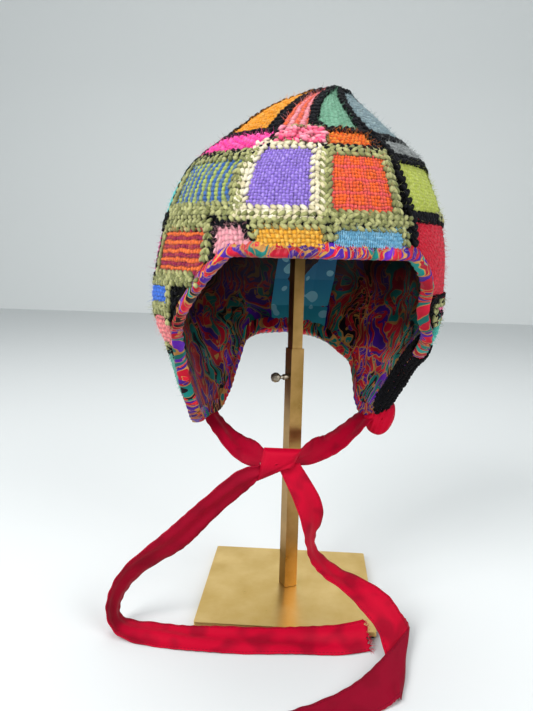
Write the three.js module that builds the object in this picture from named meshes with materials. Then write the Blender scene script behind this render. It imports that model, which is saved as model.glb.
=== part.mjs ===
// An ear-flap hat of patchwork knitting, lined with printed satin, on a brass hat stand.
// Its red ribbon ties are knotted once in front of the pole and trail on the table.
// Millimetres, +Z up, the face of the hat towards -Y, origin under the middle of the base.

import * as THREE from 'three';
import { mergeVertices } from 'three/addons/utils/BufferGeometryUtils.js';

// Stand
const baseSide = 125;
const basePadThick = 1.3;
const basePlateThick = 3.1;
const baseCorner = 1.5;
const poleTurn = 28;
const lowerTubeSide = 10;
const lowerTubeLength = 183;
const tubeWall = 0.7;
const tubeOverlap = 45;
const headRadius = 27;
const headEdge = 2;
const headDome = 3.5;
const screwDrop = 21;
const screwCollarRadius = 2.2;
const screwNeckRadius = 1.3;
const screwBallRadius = 3.8;
const screwCollarLength = 3.6;
const screwNeckLength = 2.6;

// Clearance between pieces that rest against each other
const gap = 0.3;
const liningGap = 0.5;
const bindingGap = 0.6;

// Hat: the rim is its front edge, the crown rises from there and the flaps hang below
const rimHeight = 255;
const crownRise = 114;
const flapDrop = 125;
const halfWidth = 100.5;
const depthToWidth = 1.03;
const hatTurn = 6.5;
const knitThick = 3;
const patchThick = 2.6;
const liningThick = 1.2;
const bindingFront = 7;
const bindingSide = 2.6;
const bindingWall = 1.2;
const hemBand = 3;
const bandWidth = 5;
const seamGap = 0.3;

// Label inside the back, and the ribbon
const labelThick = 0.6;
const ribbonWidth = 22;
const ribbonThick = 1;
const knotHeight = 113;
const knotForward = 38;
const knotSideways = -9;
const knotDepth = 10;
const knotBevel = 2;
const tieBack = 1.3;
const tieRise = 0.3;

// Level lines of the hat, down from the tip of the crown: up is a share of the crown's rise
// above the rim or, below it, of the flaps' drop, at the front and at the back
const levels = [
  { name: 'cap', front: 0.945, back: 0.945 },
  { name: 'top_mid', front: 0.81, back: 0.82 },
  { name: 'top_end', front: 0.68, back: 0.69 },
  { name: 'upper_start', front: 0.645, back: 0.65 },
  { name: 'upper_end', front: 0.54, back: 0.5 },
  { name: 'middle_start', front: 0.522, back: 0.46 },
  { name: 'middle_mid', front: 0.38, back: 0.33 },
  { name: 'middle_end', front: 0.235, back: 0.19 },
  { name: 'lower_start', front: 0.12, back: 0.14 },
  { name: 'lower_mid', front: 0.02, back: 0.01 },
  { name: 'lower_end', front: -0.12, back: -0.13 },
  { name: 'side_start', front: -0.155, back: -0.165 },
  { name: 'side_mid', front: -0.27, back: -0.32 },
  { name: 'side_lower', front: -0.3, back: -0.36 },
  { name: 'side_end', front: -0.49, back: -0.53 },
  { name: 'flap_start', front: -0.52, back: -0.57 },
  { name: 'flap_mid', front: -0.76, back: -0.78 },
  { name: 'flap_end', front: -1.1, back: -1.1 },
];


// Outline of the hat seen from the front: up as in the levels, half and lean are shares of
// the half width, and lean is how far the middle sits towards +X
const sections = [
  { up: 1, half: 0, lean: 0.21 },
  { up: 0.985, half: 0.075, lean: 0.205 },
  { up: 0.945, half: 0.165, lean: 0.165 },
  { up: 0.89, half: 0.275, lean: 0.115 },
  { up: 0.81, half: 0.41, lean: 0.085 },
  { up: 0.71, half: 0.545, lean: 0.07 },
  { up: 0.645, half: 0.63, lean: 0.065 },
  { up: 0.56, half: 0.745, lean: 0.055 },
  { up: 0.44, half: 0.84, lean: 0.035 },
  { up: 0.28, half: 0.92, lean: 0.03 },
  { up: 0.1, half: 0.968, lean: 0.025 },
  { up: 0, half: 0.985, lean: 0.02 },
  { up: -0.22, half: 1, lean: 0.01 },
  { up: -0.38, half: 0.97, lean: 0 },
  { up: -0.53, half: 0.9, lean: 0 },
  { up: -0.76, half: 0.81, lean: 0 },
  { up: -0.9, half: 0.75, lean: 0 },
  { up: -1.1, half: 0.69, lean: 0 },
];

// Lower edge: turn in degrees from the front, drop below the rim as a share of the flaps'
// drop, on the hat's two sides
const hem = [
  { turn: 0, left: 0, right: 0 },
  { turn: 30, left: 0, right: 0 },
  { turn: 38, left: 0.08, right: 0 },
  { turn: 45, left: 0.18, right: 0.05 },
  { turn: 52, left: 0.29, right: 0.15 },
  { turn: 60, left: 0.42, right: 0.34 },
  { turn: 68, left: 0.56, right: 0.46 },
  { turn: 76, left: 0.74, right: 0.53 },
  { turn: 82, left: 0.88, right: 0.58 },
  { turn: 90, left: 0.97, right: 0.65 },
  { turn: 97, left: 1, right: 0.78 },
  { turn: 104, left: 1, right: 0.93 },
  { turn: 110, left: 1, right: 1 },
  { turn: 121, left: 1, right: 1 },
  { turn: 128, left: 0.98, right: 0.94 },
  { turn: 134, left: 0.93, right: 0.82 },
  { turn: 140, left: 0.87, right: 0.7 },
  { turn: 148, left: 0.74, right: 0.64 },
  { turn: 156, left: 0.57, right: 0.58 },
  { turn: 166, left: 0.53, right: 0.54 },
  { turn: 180, left: 0.52, right: 0.52 },
];

// Dents and bulges: push is a share of the half width, inwards where positive, at a turn and
// a height, and falls off over spread degrees and over a share of the flaps' drop
const dents = [
  { name: 'fold in the right front edge', turn: 57, up: -0.27, push: 0.05, spread: 11, tall: 0.11 },
  { name: 'roll of the right front edge', turn: 80, up: -0.42, push: -0.02, spread: 14, tall: 0.16 },
  { name: 'sag of the back hem', turn: 180, up: -0.55, push: 0.07, spread: 34, tall: 0.13 },
  { name: 'corner of the crown', turn: 82, up: 0.62, push: -0.03, spread: 22, tall: 0.12 },
  { name: 'dip beside the crown', turn: -60, up: 0.75, push: 0.02, spread: 25, tall: 0.12 },
  { name: 'flat of the left temple', turn: -48, up: 0.2, push: 0.012, spread: 20, tall: 0.2 },
  { name: 'swell of the left side', turn: -88, up: -0.25, push: -0.012, spread: 25, tall: 0.2 },
];

// Upright joints between the squares: their turn in degrees in each row, and how many facets
// the column that starts there has
const joints = [
  { top: -72, upper: -75, middle: -72, lower: -74, side: -78, splits: 4 },
  { top: -45, upper: -48, middle: -43, lower: -39, side: -44, splits: 3 },
  { top: -13, upper: -24, middle: -31, lower: -22, side: -24, splits: 3 },
  { top: -2, upper: 2, middle: 1, lower: 4, side: 4, splits: 3 },
  { top: 25, upper: 34, middle: 36, lower: 38, side: 40, splits: 6 },
  { top: 82, upper: 84, middle: 84, lower: 84, side: 84, splits: 5 },
  { top: 126, upper: 126, middle: 126, lower: 124, side: 128, splits: 5 },
  { top: 168, upper: 168, middle: 170, lower: 176, side: 179, splits: 4 },
  { top: 206, upper: 207, middle: 208, lower: 212, side: 214, splits: 4 },
  { top: 246, upper: 247, middle: 247, lower: 246, side: 246, splits: 5 },
];

// Heights at which the rows' turns hold
const jointRows = [
  { row: 'top', up: 0.8 },
  { row: 'upper', up: 0.6 },
  { row: 'middle', up: 0.38 },
  { row: 'lower', up: 0.03 },
  { row: 'side', up: -0.4 },
];

// Knitted squares: the columns from and to, counted from the left temple towards the face, the
// levels that they run between, and a colour
const patches = [
  { name: 'patch_amber_wedge', from: 0, to: 1, top: 'cap', foot: 'top_end', colour: 0xf09c22 },
  { name: 'patch_coral_gusset', from: 2, to: 2, top: 'cap', foot: 'top_end', colour: 0xee8152 },
  { name: 'patch_sage_wedge', from: 3, to: 3, top: 'cap', foot: 'top_end', colour: 0x6c9d7e },
  { name: 'patch_mist_wedge', from: 4, to: 4, top: 'cap', foot: 'top_end', colour: 0x8fa9ae },
  { name: 'patch_plum_wedge', from: 5, to: 6, top: 'cap', foot: 'top_end', colour: 0x84406f },
  { name: 'patch_ochre_wedge', from: 7, to: 7, top: 'cap', foot: 'top_end', colour: 0xc9a33c },
  { name: 'patch_teal_wedge', from: 8, to: 9, top: 'cap', foot: 'top_end', colour: 0x2f7f83 },
  { name: 'patch_hot_pink', from: 0, to: 1, top: 'upper_start', foot: 'upper_end', colour: 0xff4fa0 },
  { name: 'patch_pink_bobble', from: 2, to: 2, top: 'upper_start', foot: 'upper_end', colour: 0xf23f7f },
  { name: 'patch_tangerine', from: 3, to: 3, top: 'upper_start', foot: 'upper_end', colour: 0xf2732f },
  { name: 'patch_grey', from: 4, to: 4, top: 'upper_start', foot: 'upper_end', colour: 0x7f8584 },
  { name: 'patch_ice', from: 5, to: 5, top: 'upper_start', foot: 'upper_end', colour: 0x9fb4b8 },
  { name: 'patch_sea_green', from: 6, to: 6, top: 'upper_start', foot: 'upper_end', colour: 0x3f9a86 },
  { name: 'patch_mustard', from: 7, to: 7, top: 'upper_start', foot: 'upper_end', colour: 0xd8a83a },
  { name: 'patch_lilac', from: 8, to: 8, top: 'upper_start', foot: 'upper_end', colour: 0xa58acb },
  { name: 'patch_navy_tweed', from: 9, to: 9, top: 'upper_start', foot: 'upper_end', colour: 0x2c5560 },
  { name: 'patch_lime_stripe', from: 0, to: 1, top: 'middle_start', foot: 'middle_end', colour: 0x7ba86a },
  { name: 'patch_violet', from: 2, to: 2, top: 'middle_start', foot: 'middle_end', colour: 0x9766c9 },
  { name: 'patch_orange_plaid', from: 3, to: 3, top: 'middle_start', foot: 'middle_end', colour: 0xf08148 },
  { name: 'patch_lime', from: 4, to: 4, top: 'middle_start', foot: 'middle_end', colour: 0xb7c04f },
  { name: 'patch_moss', from: 5, to: 5, top: 'middle_start', foot: 'middle_end', colour: 0x6f7f3d },
  { name: 'patch_rose', from: 6, to: 6, top: 'middle_start', foot: 'middle_end', colour: 0xd76a86 },
  { name: 'patch_cobalt', from: 7, to: 7, top: 'middle_start', foot: 'middle_end', colour: 0x315fae },
  { name: 'patch_brick', from: 8, to: 8, top: 'middle_start', foot: 'middle_end', colour: 0xb8452f },
  { name: 'patch_turquoise', from: 9, to: 9, top: 'middle_start', foot: 'middle_end', colour: 0x3bb7b4 },
  { name: 'patch_maroon_stripe', from: 0, to: 0, top: 'lower_start', foot: 'lower_end', colour: 0xb5403a },
  { name: 'patch_blush', from: 1, to: 1, top: 'lower_start', foot: 'lower_end', colour: 0xf0a3a8 },
  { name: 'patch_gold', from: 2, to: 2, top: 'lower_start', foot: 'lower_end', colour: 0xf0b948 },
  { name: 'patch_sky', from: 3, to: 3, top: 'lower_start', foot: 'lower_end', colour: 0x7db4d8 },
  { name: 'patch_scarlet', from: 4, to: 4, top: 'lower_start', foot: 'lower_end', colour: 0xd8283a },
  { name: 'patch_pewter', from: 5, to: 5, top: 'lower_start', foot: 'lower_end', colour: 0x8c8f98 },
  { name: 'patch_apple', from: 6, to: 6, top: 'lower_start', foot: 'lower_end', colour: 0x8fb44a },
  { name: 'patch_cherry', from: 7, to: 7, top: 'lower_start', foot: 'lower_end', colour: 0xc22f46 },
  { name: 'patch_sand', from: 8, to: 8, top: 'lower_start', foot: 'lower_end', colour: 0xd9bd8a },
  { name: 'patch_magenta', from: 9, to: 9, top: 'lower_start', foot: 'lower_end', colour: 0xc93a86 },
  { name: 'patch_candy', from: 5, to: 5, top: 'side_start', foot: 'side_mid', colour: 0xe66a92 },
  { name: 'patch_mint', from: 5, to: 5, top: 'side_lower', foot: 'side_end', colour: 0x49b8a8 },
  { name: 'patch_peach', from: 8, to: 8, top: 'side_start', foot: 'side_end', colour: 0xf0b48c },
  { name: 'patch_orange_hem', from: 7, to: 7, top: 'side_start', foot: 'side_end', colour: 0xe8842c },
  { name: 'patch_lime_hem', from: 6, to: 6, top: 'side_start', foot: 'side_end', colour: 0xa9bd45 },
  { name: 'patch_royal_blue', from: 9, to: 9, top: 'side_start', foot: 'side_mid', colour: 0x2b52b4 },
  { name: 'patch_salmon', from: 9, to: 9, top: 'side_lower', foot: 'side_end', colour: 0xee7f76 },
  { name: 'patch_fern_flap', from: 5, to: 5, top: 'flap_start', foot: 'flap_end', colour: 0x5f9a54 },
  { name: 'patch_jade_flap', from: 9, to: 9, top: 'flap_start', foot: 'flap_end', colour: 0x4f9f86 },
];

// Colours of the other pieces
const colours = {
  felt: 0x1c1a19,
  brass: 0xb99a5c,
  steel: 0x8d8676,
  wool: 0x15161b,
  satin: 0x4b2a6e,
  label: 0x1f7fa3,
  ribbon: 0xd00f35,
};

// Knot seen from the front, as shares of the ribbon's width from the knot's middle
const knotOutline = [
  { name: 'top left', x: -0.41, z: 0.45 },
  { name: 'top right', x: 0.74, z: 0.45 },
  { name: 'lower right', x: 0.51, z: -0.14 },
  { name: 'bottom', x: 0.11, z: -0.27 },
  { name: 'lower left', x: -0.64, z: -0.64 },
];

// Ties between flap and knot: how far the ribbon sags on each side and how wide it is, as
// shares of its width, and how far it has turned from the flap's edge to the knot's side
const tieRows = [
  { along: 0, left: 0, right: 0, turned: 0, width: 1 },
  { along: 0.15, left: 0.1, right: 0.12, turned: 0.06, width: 1 },
  { along: 0.3, left: 0.2, right: 0.2, turned: 0.14, width: 1 },
  { along: 0.55, left: 0.3, right: 0.24, turned: 0.3, width: 1 },
  { along: 0.8, left: 0.16, right: 0.1, turned: 0.6, width: 0.85 },
  { along: 1, left: 0, right: 0, turned: 1, width: 0.48 },
];

// The two tails, by their edges a and b. Shares: x and y of the base's side, z of the knot's
// height. They were chosen by hand, as the ribbon hangs and lies
const tailLeft = [
  { ax: -0.28, ay: -0.375, az: 0.96, bx: -0.25, by: -0.31, bz: 0.8 },
  { ax: -0.46, ay: -0.415, az: 0.8, bx: -0.41, by: -0.35, bz: 0.645 },
  { ax: -0.65, ay: -0.44, az: 0.6, bx: -0.58, by: -0.365, bz: 0.445 },
  { ax: -0.81, ay: -0.48, az: 0.455, bx: -0.745, by: -0.375, bz: 0.33 },
  { ax: -0.895, ay: -0.525, az: 0.36, bx: -0.835, by: -0.4, bz: 0.257 },
  { ax: -0.945, ay: -0.57, az: 0.25, bx: -0.895, by: -0.425, bz: 0.168 },
  { ax: -0.955, ay: -0.61, az: 0.135, bx: -0.92, by: -0.45, bz: 0.085 },
  { ax: -0.905, ay: -0.65, az: 0.045, bx: -0.9, by: -0.475, bz: 0.04 },
  { ax: -0.81, ay: -0.68, az: 0.01, bx: -0.81, by: -0.508, bz: 0.032 },
  { ax: -0.69, ay: -0.705, az: 0.008, bx: -0.695, by: -0.532, bz: 0.044 },
  { ax: -0.48, ay: -0.727, az: 0.008, bx: -0.495, by: -0.563, bz: 0.058 },
  { ax: -0.22, ay: -0.727, az: 0.008, bx: -0.24, by: -0.565, bz: 0.069 },
  { ax: 0.09, ay: -0.7, az: 0.008, bx: 0.08, by: -0.536, bz: 0.071 },
  { ax: 0.3, ay: -0.684, az: 0.008, bx: 0.29, by: -0.54, bz: 0.106 },
  { ax: 0.46, ay: -0.632, az: 0.008, bx: 0.43, by: -0.509, bz: 0.13 },
];
const tailRight = [
  { ax: 0.022, ay: -0.336, az: 0.78, bx: 0.176, by: -0.28, bz: 0.77 },
  { ax: 0.076, ay: -0.352, az: 0.62, bx: 0.19, by: -0.235, bz: 0.62 },
  { ax: 0.104, ay: -0.368, az: 0.505, bx: 0.156, by: -0.2, bz: 0.505 },
  { ax: 0.136, ay: -0.384, az: 0.407, bx: 0.17, by: -0.21, bz: 0.407 },
  { ax: 0.208, ay: -0.416, az: 0.327, bx: 0.3, by: -0.27, bz: 0.32 },
  { ax: 0.328, ay: -0.48, az: 0.265, bx: 0.44, by: -0.36, bz: 0.292 },
  { ax: 0.42, ay: -0.52, az: 0.18, bx: 0.56, by: -0.424, bz: 0.24 },
  { ax: 0.496, ay: -0.576, az: 0.097, bx: 0.632, by: -0.46, bz: 0.15 },
  { ax: 0.528, ay: -0.76, az: 0.035, bx: 0.664, by: -0.45, bz: 0.1 },
  { ax: 0.564, ay: -1, az: 0.008, bx: 0.678, by: -0.46, bz: 0.06 },
  { ax: 0.562, ay: -1.025, az: 0.022, bx: 0.668, by: -0.49, bz: 0.075 },
  { ax: 0.545, ay: -1.05, az: 0.03, bx: 0.53, by: -0.74, bz: 0.075 },
  { ax: 0.48, ay: -1.1, az: 0.012, bx: 0.376, by: -0.936, bz: 0.045 },
  { ax: 0.3, ay: -1.24, az: 0.008, bx: 0.19, by: -1.08, bz: 0.018 },
  { ax: 0.11, ay: -1.33, az: 0.008, bx: 0.03, by: -1.17, bz: 0.01 },
];
const tailSteps = 2;

// Smooth curve through a table's rows that never swings past them
function curveThrough(rows, key, value) {
  const points = rows.map((row) => [row[key], row[value]]).sort((a, b) => a[0] - b[0]);
  const steps = points.slice(1).map((p, i) => (p[1] - points[i][1]) / (p[0] - points[i][0]));
  const slopes = points.map((p, i) => {
    if (i === 0) return steps[0];
    if (i === steps.length) return steps[i - 1];
    const product = steps[i - 1] * steps[i];
    return product <= 0 ? 0 : (2 * product) / (steps[i - 1] + steps[i]);
  });
  return (x) => {
    const at = THREE.MathUtils.clamp(x, points[0][0], points.at(-1)[0]);
    const i = Math.min(points.findLastIndex((p) => p[0] <= at), steps.length - 1);
    const width = points[i + 1][0] - points[i][0];
    const t = (at - points[i][0]) / width;
    const start = points[i][1] * (1 + 2 * t) * (1 - t) ** 2 + slopes[i] * width * t * (1 - t) ** 2;
    const end = points[i + 1][1] * t * t * (3 - 2 * t) + slopes[i + 1] * width * t * t * (t - 1);
    return start + end;
  };
}

// Heights
const apexHeight = rimHeight + crownRise;
const heightOf = (up) => rimHeight + up * (up > 0 ? crownRise : flapDrop);
const upOf = (height) => (height - rimHeight) / (height > rimHeight ? crownRise : flapDrop);

// Turns are kept between -180 and 180 degrees
const wrapTurn = (turn) => ((((turn + 180) % 360) + 360) % 360) - 180;

// Skin of the hat
const halfAt = curveThrough(sections, 'up', 'half');
const leanAt = curveThrough(sections, 'up', 'lean');

function dentAt(turn, up) {
  let push = 0;
  for (const dent of dents) {
    const across = wrapTurn(turn - dent.turn) / dent.spread;
    const along = (up - dent.up) / dent.tall;
    push += dent.push * Math.exp(-across * across - along * along);
  }
  return push;
}

function skinPoint(turn, height) {
  const up = upOf(height);
  const radius = halfWidth * halfAt(up) * (1 - dentAt(turn, up));
  const angle = THREE.MathUtils.degToRad(turn + hatTurn);
  const x = halfWidth * leanAt(up) + radius * Math.sin(angle);
  return new THREE.Vector3(x, -radius * depthToWidth * Math.cos(angle), height);
}

function skinNormal(turn, height) {
  const upper = Math.min(height + 1, apexHeight - 0.5);
  const along = skinPoint(turn + 1, upper).sub(skinPoint(turn - 1, upper));
  const rise = skinPoint(turn, upper).sub(skinPoint(turn, upper - 2));
  return along.cross(rise).normalize();
}

// A point under the skin, or outside it where depth is negative
function underSkin(turn, height, depth) {
  if (height >= apexHeight - 0.01) {
    return skinPoint(0, apexHeight).add(new THREE.Vector3(0, 0, -1.25 * depth));
  }
  return skinPoint(turn, height).addScaledVector(skinNormal(turn, height), -depth);
}

// Upright lines of the hat's grid: each column starts and ends at the edge of a joint
const jointCurves = joints.map((joint) => {
  const points = jointRows.map(({ row, up }) => ({ up, turn: joint[row] }));
  return curveThrough(points, 'up', 'turn');
});
const columns = joints.length;

const lines = [];
joints.forEach(({ splits }, column) => {
  for (let step = 0; step <= splits; step += 1) {
    lines.push({ column, share: step / splits, end: step === splits });
  }
});

function turnOf(line, height) {
  const up = upOf(height);
  const start = jointCurves[line.column](up);
  const next = (line.column + 1) % columns;
  const end = jointCurves[next](up) + (next === 0 ? 360 : 0);
  const radius = Math.max(halfWidth * halfAt(up), bandWidth);
  const halfJoint = Math.min(THREE.MathUtils.radToDeg(bandWidth / 2 / radius), (end - start) / 3);
  return start + halfJoint + line.share * (end - start - 2 * halfJoint);
}

// Hem, and where each line meets it
const hemLeft = curveThrough(hem, 'turn', 'left');
const hemRight = curveThrough(hem, 'turn', 'right');

function hemHeight(turn) {
  const wrapped = wrapTurn(turn);
  const drop = wrapped < 0 ? hemLeft(-wrapped) : hemRight(wrapped);
  return rimHeight - drop * flapDrop;
}

function hemOnLine(line) {
  let low = rimHeight - 1.1 * flapDrop;
  let high = rimHeight + 1;
  for (let step = 0; step < 30; step += 1) {
    const middle = (low + high) / 2;
    if (middle > hemHeight(turnOf(line, middle))) high = middle;
    else low = middle;
  }
  return (low + high) / 2;
}
for (const line of lines) {
  line.hem = hemOnLine(line);
  const turn = wrapTurn(turnOf(line, line.hem));
  line.bindingUp = Math.abs(turn) < 62 ? bindingFront : bindingSide;
}

const hemClear = bindingWall + gap;

function levelHeight(line, index) {
  if (index < 0) return apexHeight;
  const turn = Math.abs(wrapTurn(turnOf(line, rimHeight)));
  const back = THREE.MathUtils.smoothstep(turn, 70, 92);
  const up = levels[index].front * (1 - back) + levels[index].back * back;
  return Math.max(heightOf(up), line.hem + hemClear + hemBand);
}
const levelIndex = (name) => levels.findIndex((level) => level.name === name);

// A closed body from facets given as lists of points, with shared corners merged
function closedBody(facets) {
  const positions = [];
  for (const whole of facets) {
    const [a, b, c, d] = whole;
    const turned = whole.length === 4 && a.distanceTo(c) > b.distanceTo(d) + 1e-3;
    const facet = turned ? [b, c, d, a] : whole;
    for (let i = 1; i + 1 < facet.length; i += 1) {
      const corners = [facet[0], facet[i], facet[i + 1]];
      const keys = corners.map((p) => p.toArray().map((n) => n.toFixed(4)).join());
      if (new Set(keys).size < 3) continue;
      for (const corner of corners) positions.push(...corner.toArray());
    }
  }
  const geometry = new THREE.BufferGeometry();
  geometry.setAttribute('position', new THREE.Float32BufferAttribute(positions, 3));
  return mergeVertices(geometry, 1e-3);
}

// A wall between two faces: cells are the corners of its outer face as grid keys, and place
// gives a key's point at a depth under the skin
function wallBody(cells, place, outerDepth, innerDepth) {
  const placed = new Map();
  const cornerAt = (key, depth) => {
    const id = `${key}/${depth}`;
    if (!placed.has(id)) placed.set(id, place(key, depth));
    return placed.get(id);
  };
  const sameKey = (a, b) => cornerAt(a, outerDepth).distanceTo(cornerAt(b, outerDepth)) < 1e-3;
  const facets = [];
  const edges = new Map();
  for (const cell of cells) {
    const ring = cell.filter((key, i) => !sameKey(key, cell[(i + 1) % cell.length]));
    if (ring.length < 3) continue;
    facets.push(ring.map((key) => cornerAt(key, outerDepth)));
    facets.push(ring.map((key) => cornerAt(key, innerDepth)).reverse());
    ring.forEach((key, i) => {
      const next = ring[(i + 1) % ring.length];
      const name = (k) => cornerAt(k, outerDepth).toArray().map((n) => n.toFixed(3)).join();
      edges.set(`${name(key)}|${name(next)}`, { key, next, back: `${name(next)}|${name(key)}` });
    });
  }
  for (const edge of edges.values()) {
    if (edges.has(edge.back)) continue;
    facets.push([
      cornerAt(edge.next, outerDepth), cornerAt(edge.key, outerDepth),
      cornerAt(edge.key, innerDepth), cornerAt(edge.next, innerDepth),
    ]);
  }
  return closedBody(facets);
}

// Grid keys are "line:level", with level -1 at the tip and one past the last at the hem
const lastLevel = levels.length;

function placeOnGrid(key, depth) {
  const [lineIndex, levelNumber] = key.split(':').map(Number);
  const line = lines[lineIndex];
  const height = levelNumber === lastLevel ? line.hem + hemClear : levelHeight(line, levelNumber);
  return underSkin(turnOf(line, height), height, depth);
}

function gridCell(lineIndex, level) {
  const next = (lineIndex + 1) % lines.length;
  if (level === -1) return [`${lineIndex}:-1`, `${lineIndex}:0`, `${next}:0`];
  return [`${lineIndex}:${level}`, `${lineIndex}:${level + 1}`, `${next}:${level + 1}`, `${next}:${level}`];
}

// Lines of a patch, from its first column to its last
function patchLines(patch) {
  const first = lines.findIndex((line) => line.column === patch.from);
  const last = lines.findIndex((line) => line.column === patch.to && line.end);
  return lines.slice(first, last + 1).map((_, i) => first + i);
}

function patchBody(patch) {
  const found = patchLines(patch);
  const top = levelIndex(patch.top);
  const foot = levelIndex(patch.foot);
  const place = (key, depth) => {
    const [lineIndex, level] = key.split(':').map(Number);
    const line = lines[lineIndex];
    const upper = levelHeight(line, top) - seamGap;
    const lower = Math.min(levelHeight(line, foot) + seamGap, upper);
    const height = THREE.MathUtils.clamp(levelHeight(line, level), lower, upper);
    const radius = Math.max(halfWidth * halfAt(upOf(height)), bandWidth);
    const inset = THREE.MathUtils.radToDeg(seamGap / radius);
    let turn = turnOf(line, height);
    if (lineIndex === found[0]) turn += inset;
    if (lineIndex === found.at(-1)) turn -= inset;
    return underSkin(turn, height, depth);
  };
  const cells = [];
  for (const lineIndex of found.slice(0, -1)) {
    for (let level = top; level < foot; level += 1) cells.push(gridCell(lineIndex, level));
  }
  const outerDepth = knitThick - patchThick;
  return wallBody(cells, place, outerDepth, knitThick);
}

// Crochet that frames the squares: the whole grid less the squares' cells
function crochetBody() {
  const open = new Set();
  for (const patch of patches) {
    const found = patchLines(patch).slice(0, -1);
    for (const lineIndex of found) {
      for (let level = levelIndex(patch.top); level < levelIndex(patch.foot); level += 1) {
        open.add(`${lineIndex}:${level}`);
      }
    }
  }
  const cells = [];
  for (let lineIndex = 0; lineIndex < lines.length; lineIndex += 1) {
    for (let level = -1; level < lastLevel; level += 1) {
      if (!open.has(`${lineIndex}:${level}`)) cells.push(gridCell(lineIndex, level));
    }
  }
  return wallBody(cells, placeOnGrid, 0, knitThick);
}

// Lining: one satin shell whose edge turns out over the hem as a binding
const liningOuter = knitThick + liningGap;
const liningInner = liningOuter + liningThick;

function liningRing(line) {
  const numbers = [-1, ...levels.keys()].filter((number) => number < lastLevel);
  const outwards = numbers.map((number) => levelHeight(line, number));
  const at = (height, depth) => underSkin(turnOf(line, Math.max(height, line.hem)), height, depth);
  const bindingTop = line.hem + line.bindingUp;
  return [
    ...outwards.map((height) => at(height, liningInner)),
    at(line.hem, liningInner),
    at(line.hem, -bindingGap - bindingWall),
    at(bindingTop, -bindingGap - bindingWall),
    at(bindingTop, -bindingGap),
    at(line.hem + bindingWall, -bindingGap),
    at(line.hem + bindingWall, liningOuter),
    ...outwards.map((height) => at(height, liningOuter)).reverse(),
  ];
}

const liningRings = lines.map(liningRing);

function liningBody() {
  const facets = [];
  liningRings.forEach((ring, index) => {
    const next = liningRings[(index + 1) % liningRings.length];
    for (let i = 0; i + 1 < ring.length; i += 1) {
      const quad = [ring[i], next[i], next[i + 1], ring[i + 1]];
      const corners = quad.filter((p, n) => p.distanceTo(quad[(n + 1) % 4]) > 1e-3);
      if (corners.length > 2) facets.push(corners);
    }
  });
  return closedBody(facets);
}

// Label on the lining, at the back
const labelFrom = { column: 6, share: 0.6 };
const labelTo = { column: 7, share: 0.25 };
const labelLevels = ['lower_mid', 'side_start', 'side_lower', 'side_end'];

function labelBody() {
  const find = (mark) => lines.findIndex((l) => l.column === mark.column && Math.abs(l.share - mark.share) < 0.01);
  const numbers = labelLevels.map(levelIndex);
  const cells = [];
  for (let lineIndex = find(labelFrom); lineIndex < find(labelTo); lineIndex += 1) {
    for (let i = 0; i + 1 < numbers.length; i += 1) {
      cells.push([
        `${lineIndex}:${numbers[i]}`, `${lineIndex}:${numbers[i + 1]}`,
        `${lineIndex + 1}:${numbers[i + 1]}`, `${lineIndex + 1}:${numbers[i]}`,
      ]);
    }
  }
  const outerDepth = liningInner + gap;
  return wallBody(cells, placeOnGrid, outerDepth, outerDepth + labelThick);
}

// Ribbons, as strips between rulings that run from edge a to edge b
function ruling(middle, direction, width) {
  const half = direction.clone().setLength(width / 2);
  return { a: middle.clone().sub(half), b: middle.clone().add(half) };
}

function stripBody(rulings, steps) {
  const curveA = new THREE.CatmullRomCurve3(rulings.map((r) => r.a));
  const curveB = new THREE.CatmullRomCurve3(rulings.map((r) => r.b));
  const count = (rulings.length - 1) * steps;
  const rings = [];
  for (let i = 0; i <= count; i += 1) {
    const a = curveA.getPoint(i / count);
    const b = curveB.getPoint(i / count);
    const onwards = curveA.getTangent(i / count).add(curveB.getTangent(i / count));
    const face = b.clone().sub(a).cross(onwards).setLength(ribbonThick / 2);
    rings.push([a.clone().add(face), b.clone().add(face), b.clone().sub(face), a.clone().sub(face)]);
  }
  const facets = [[...rings[0]].reverse(), rings.at(-1)];
  for (let i = 0; i < count; i += 1) {
    for (let n = 0; n < 4; n += 1) {
      const m = (n + 1) % 4;
      facets.push([rings[i][n], rings[i][m], rings[i + 1][m], rings[i + 1][n]]);
    }
  }
  return closedBody(facets);
}

// Knot
const knotMiddle = new THREE.Vector3(knotSideways, -knotForward, knotHeight);
const knotPoint = (name) => {
  const corner = knotOutline.find((c) => c.name === name);
  return new THREE.Vector3(corner.x * ribbonWidth, 0, corner.z * ribbonWidth).add(knotMiddle);
};

function knotBody() {
  const corners = knotOutline.map((c) => new THREE.Vector2(c.x * ribbonWidth, c.z * ribbonWidth));
  const shape = new THREE.Shape(corners.reverse());
  const geometry = new THREE.ExtrudeGeometry(shape, {
    depth: knotDepth - 2 * knotBevel,
    bevelSize: knotBevel,
    bevelOffset: -knotBevel,
    bevelThickness: knotBevel,
    bevelSegments: 2,
    steps: 1,
  });
  geometry.translate(0, 0, knotBevel - knotDepth / 2);
  geometry.rotateX(Math.PI / 2);
  geometry.translate(...knotMiddle.toArray());
  return geometry;
}

// Where a ribbon meets a side of the knot: a share from and to along the side, moved out by
// the gap and forwards or backwards in the knot's depth
function knotRuling(first, second, from, to, layer) {
  const start = knotPoint(first);
  const end = knotPoint(second);
  const side = end.clone().sub(start).normalize();
  const out = new THREE.Vector3(side.z, 0, -side.x).multiplyScalar(gap);
  const shift = new THREE.Vector3(0, layer * ribbonWidth, 0).add(out);
  return {
    a: start.clone().lerp(end, from).add(shift),
    b: start.clone().lerp(end, to).add(shift),
  };
}

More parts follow.
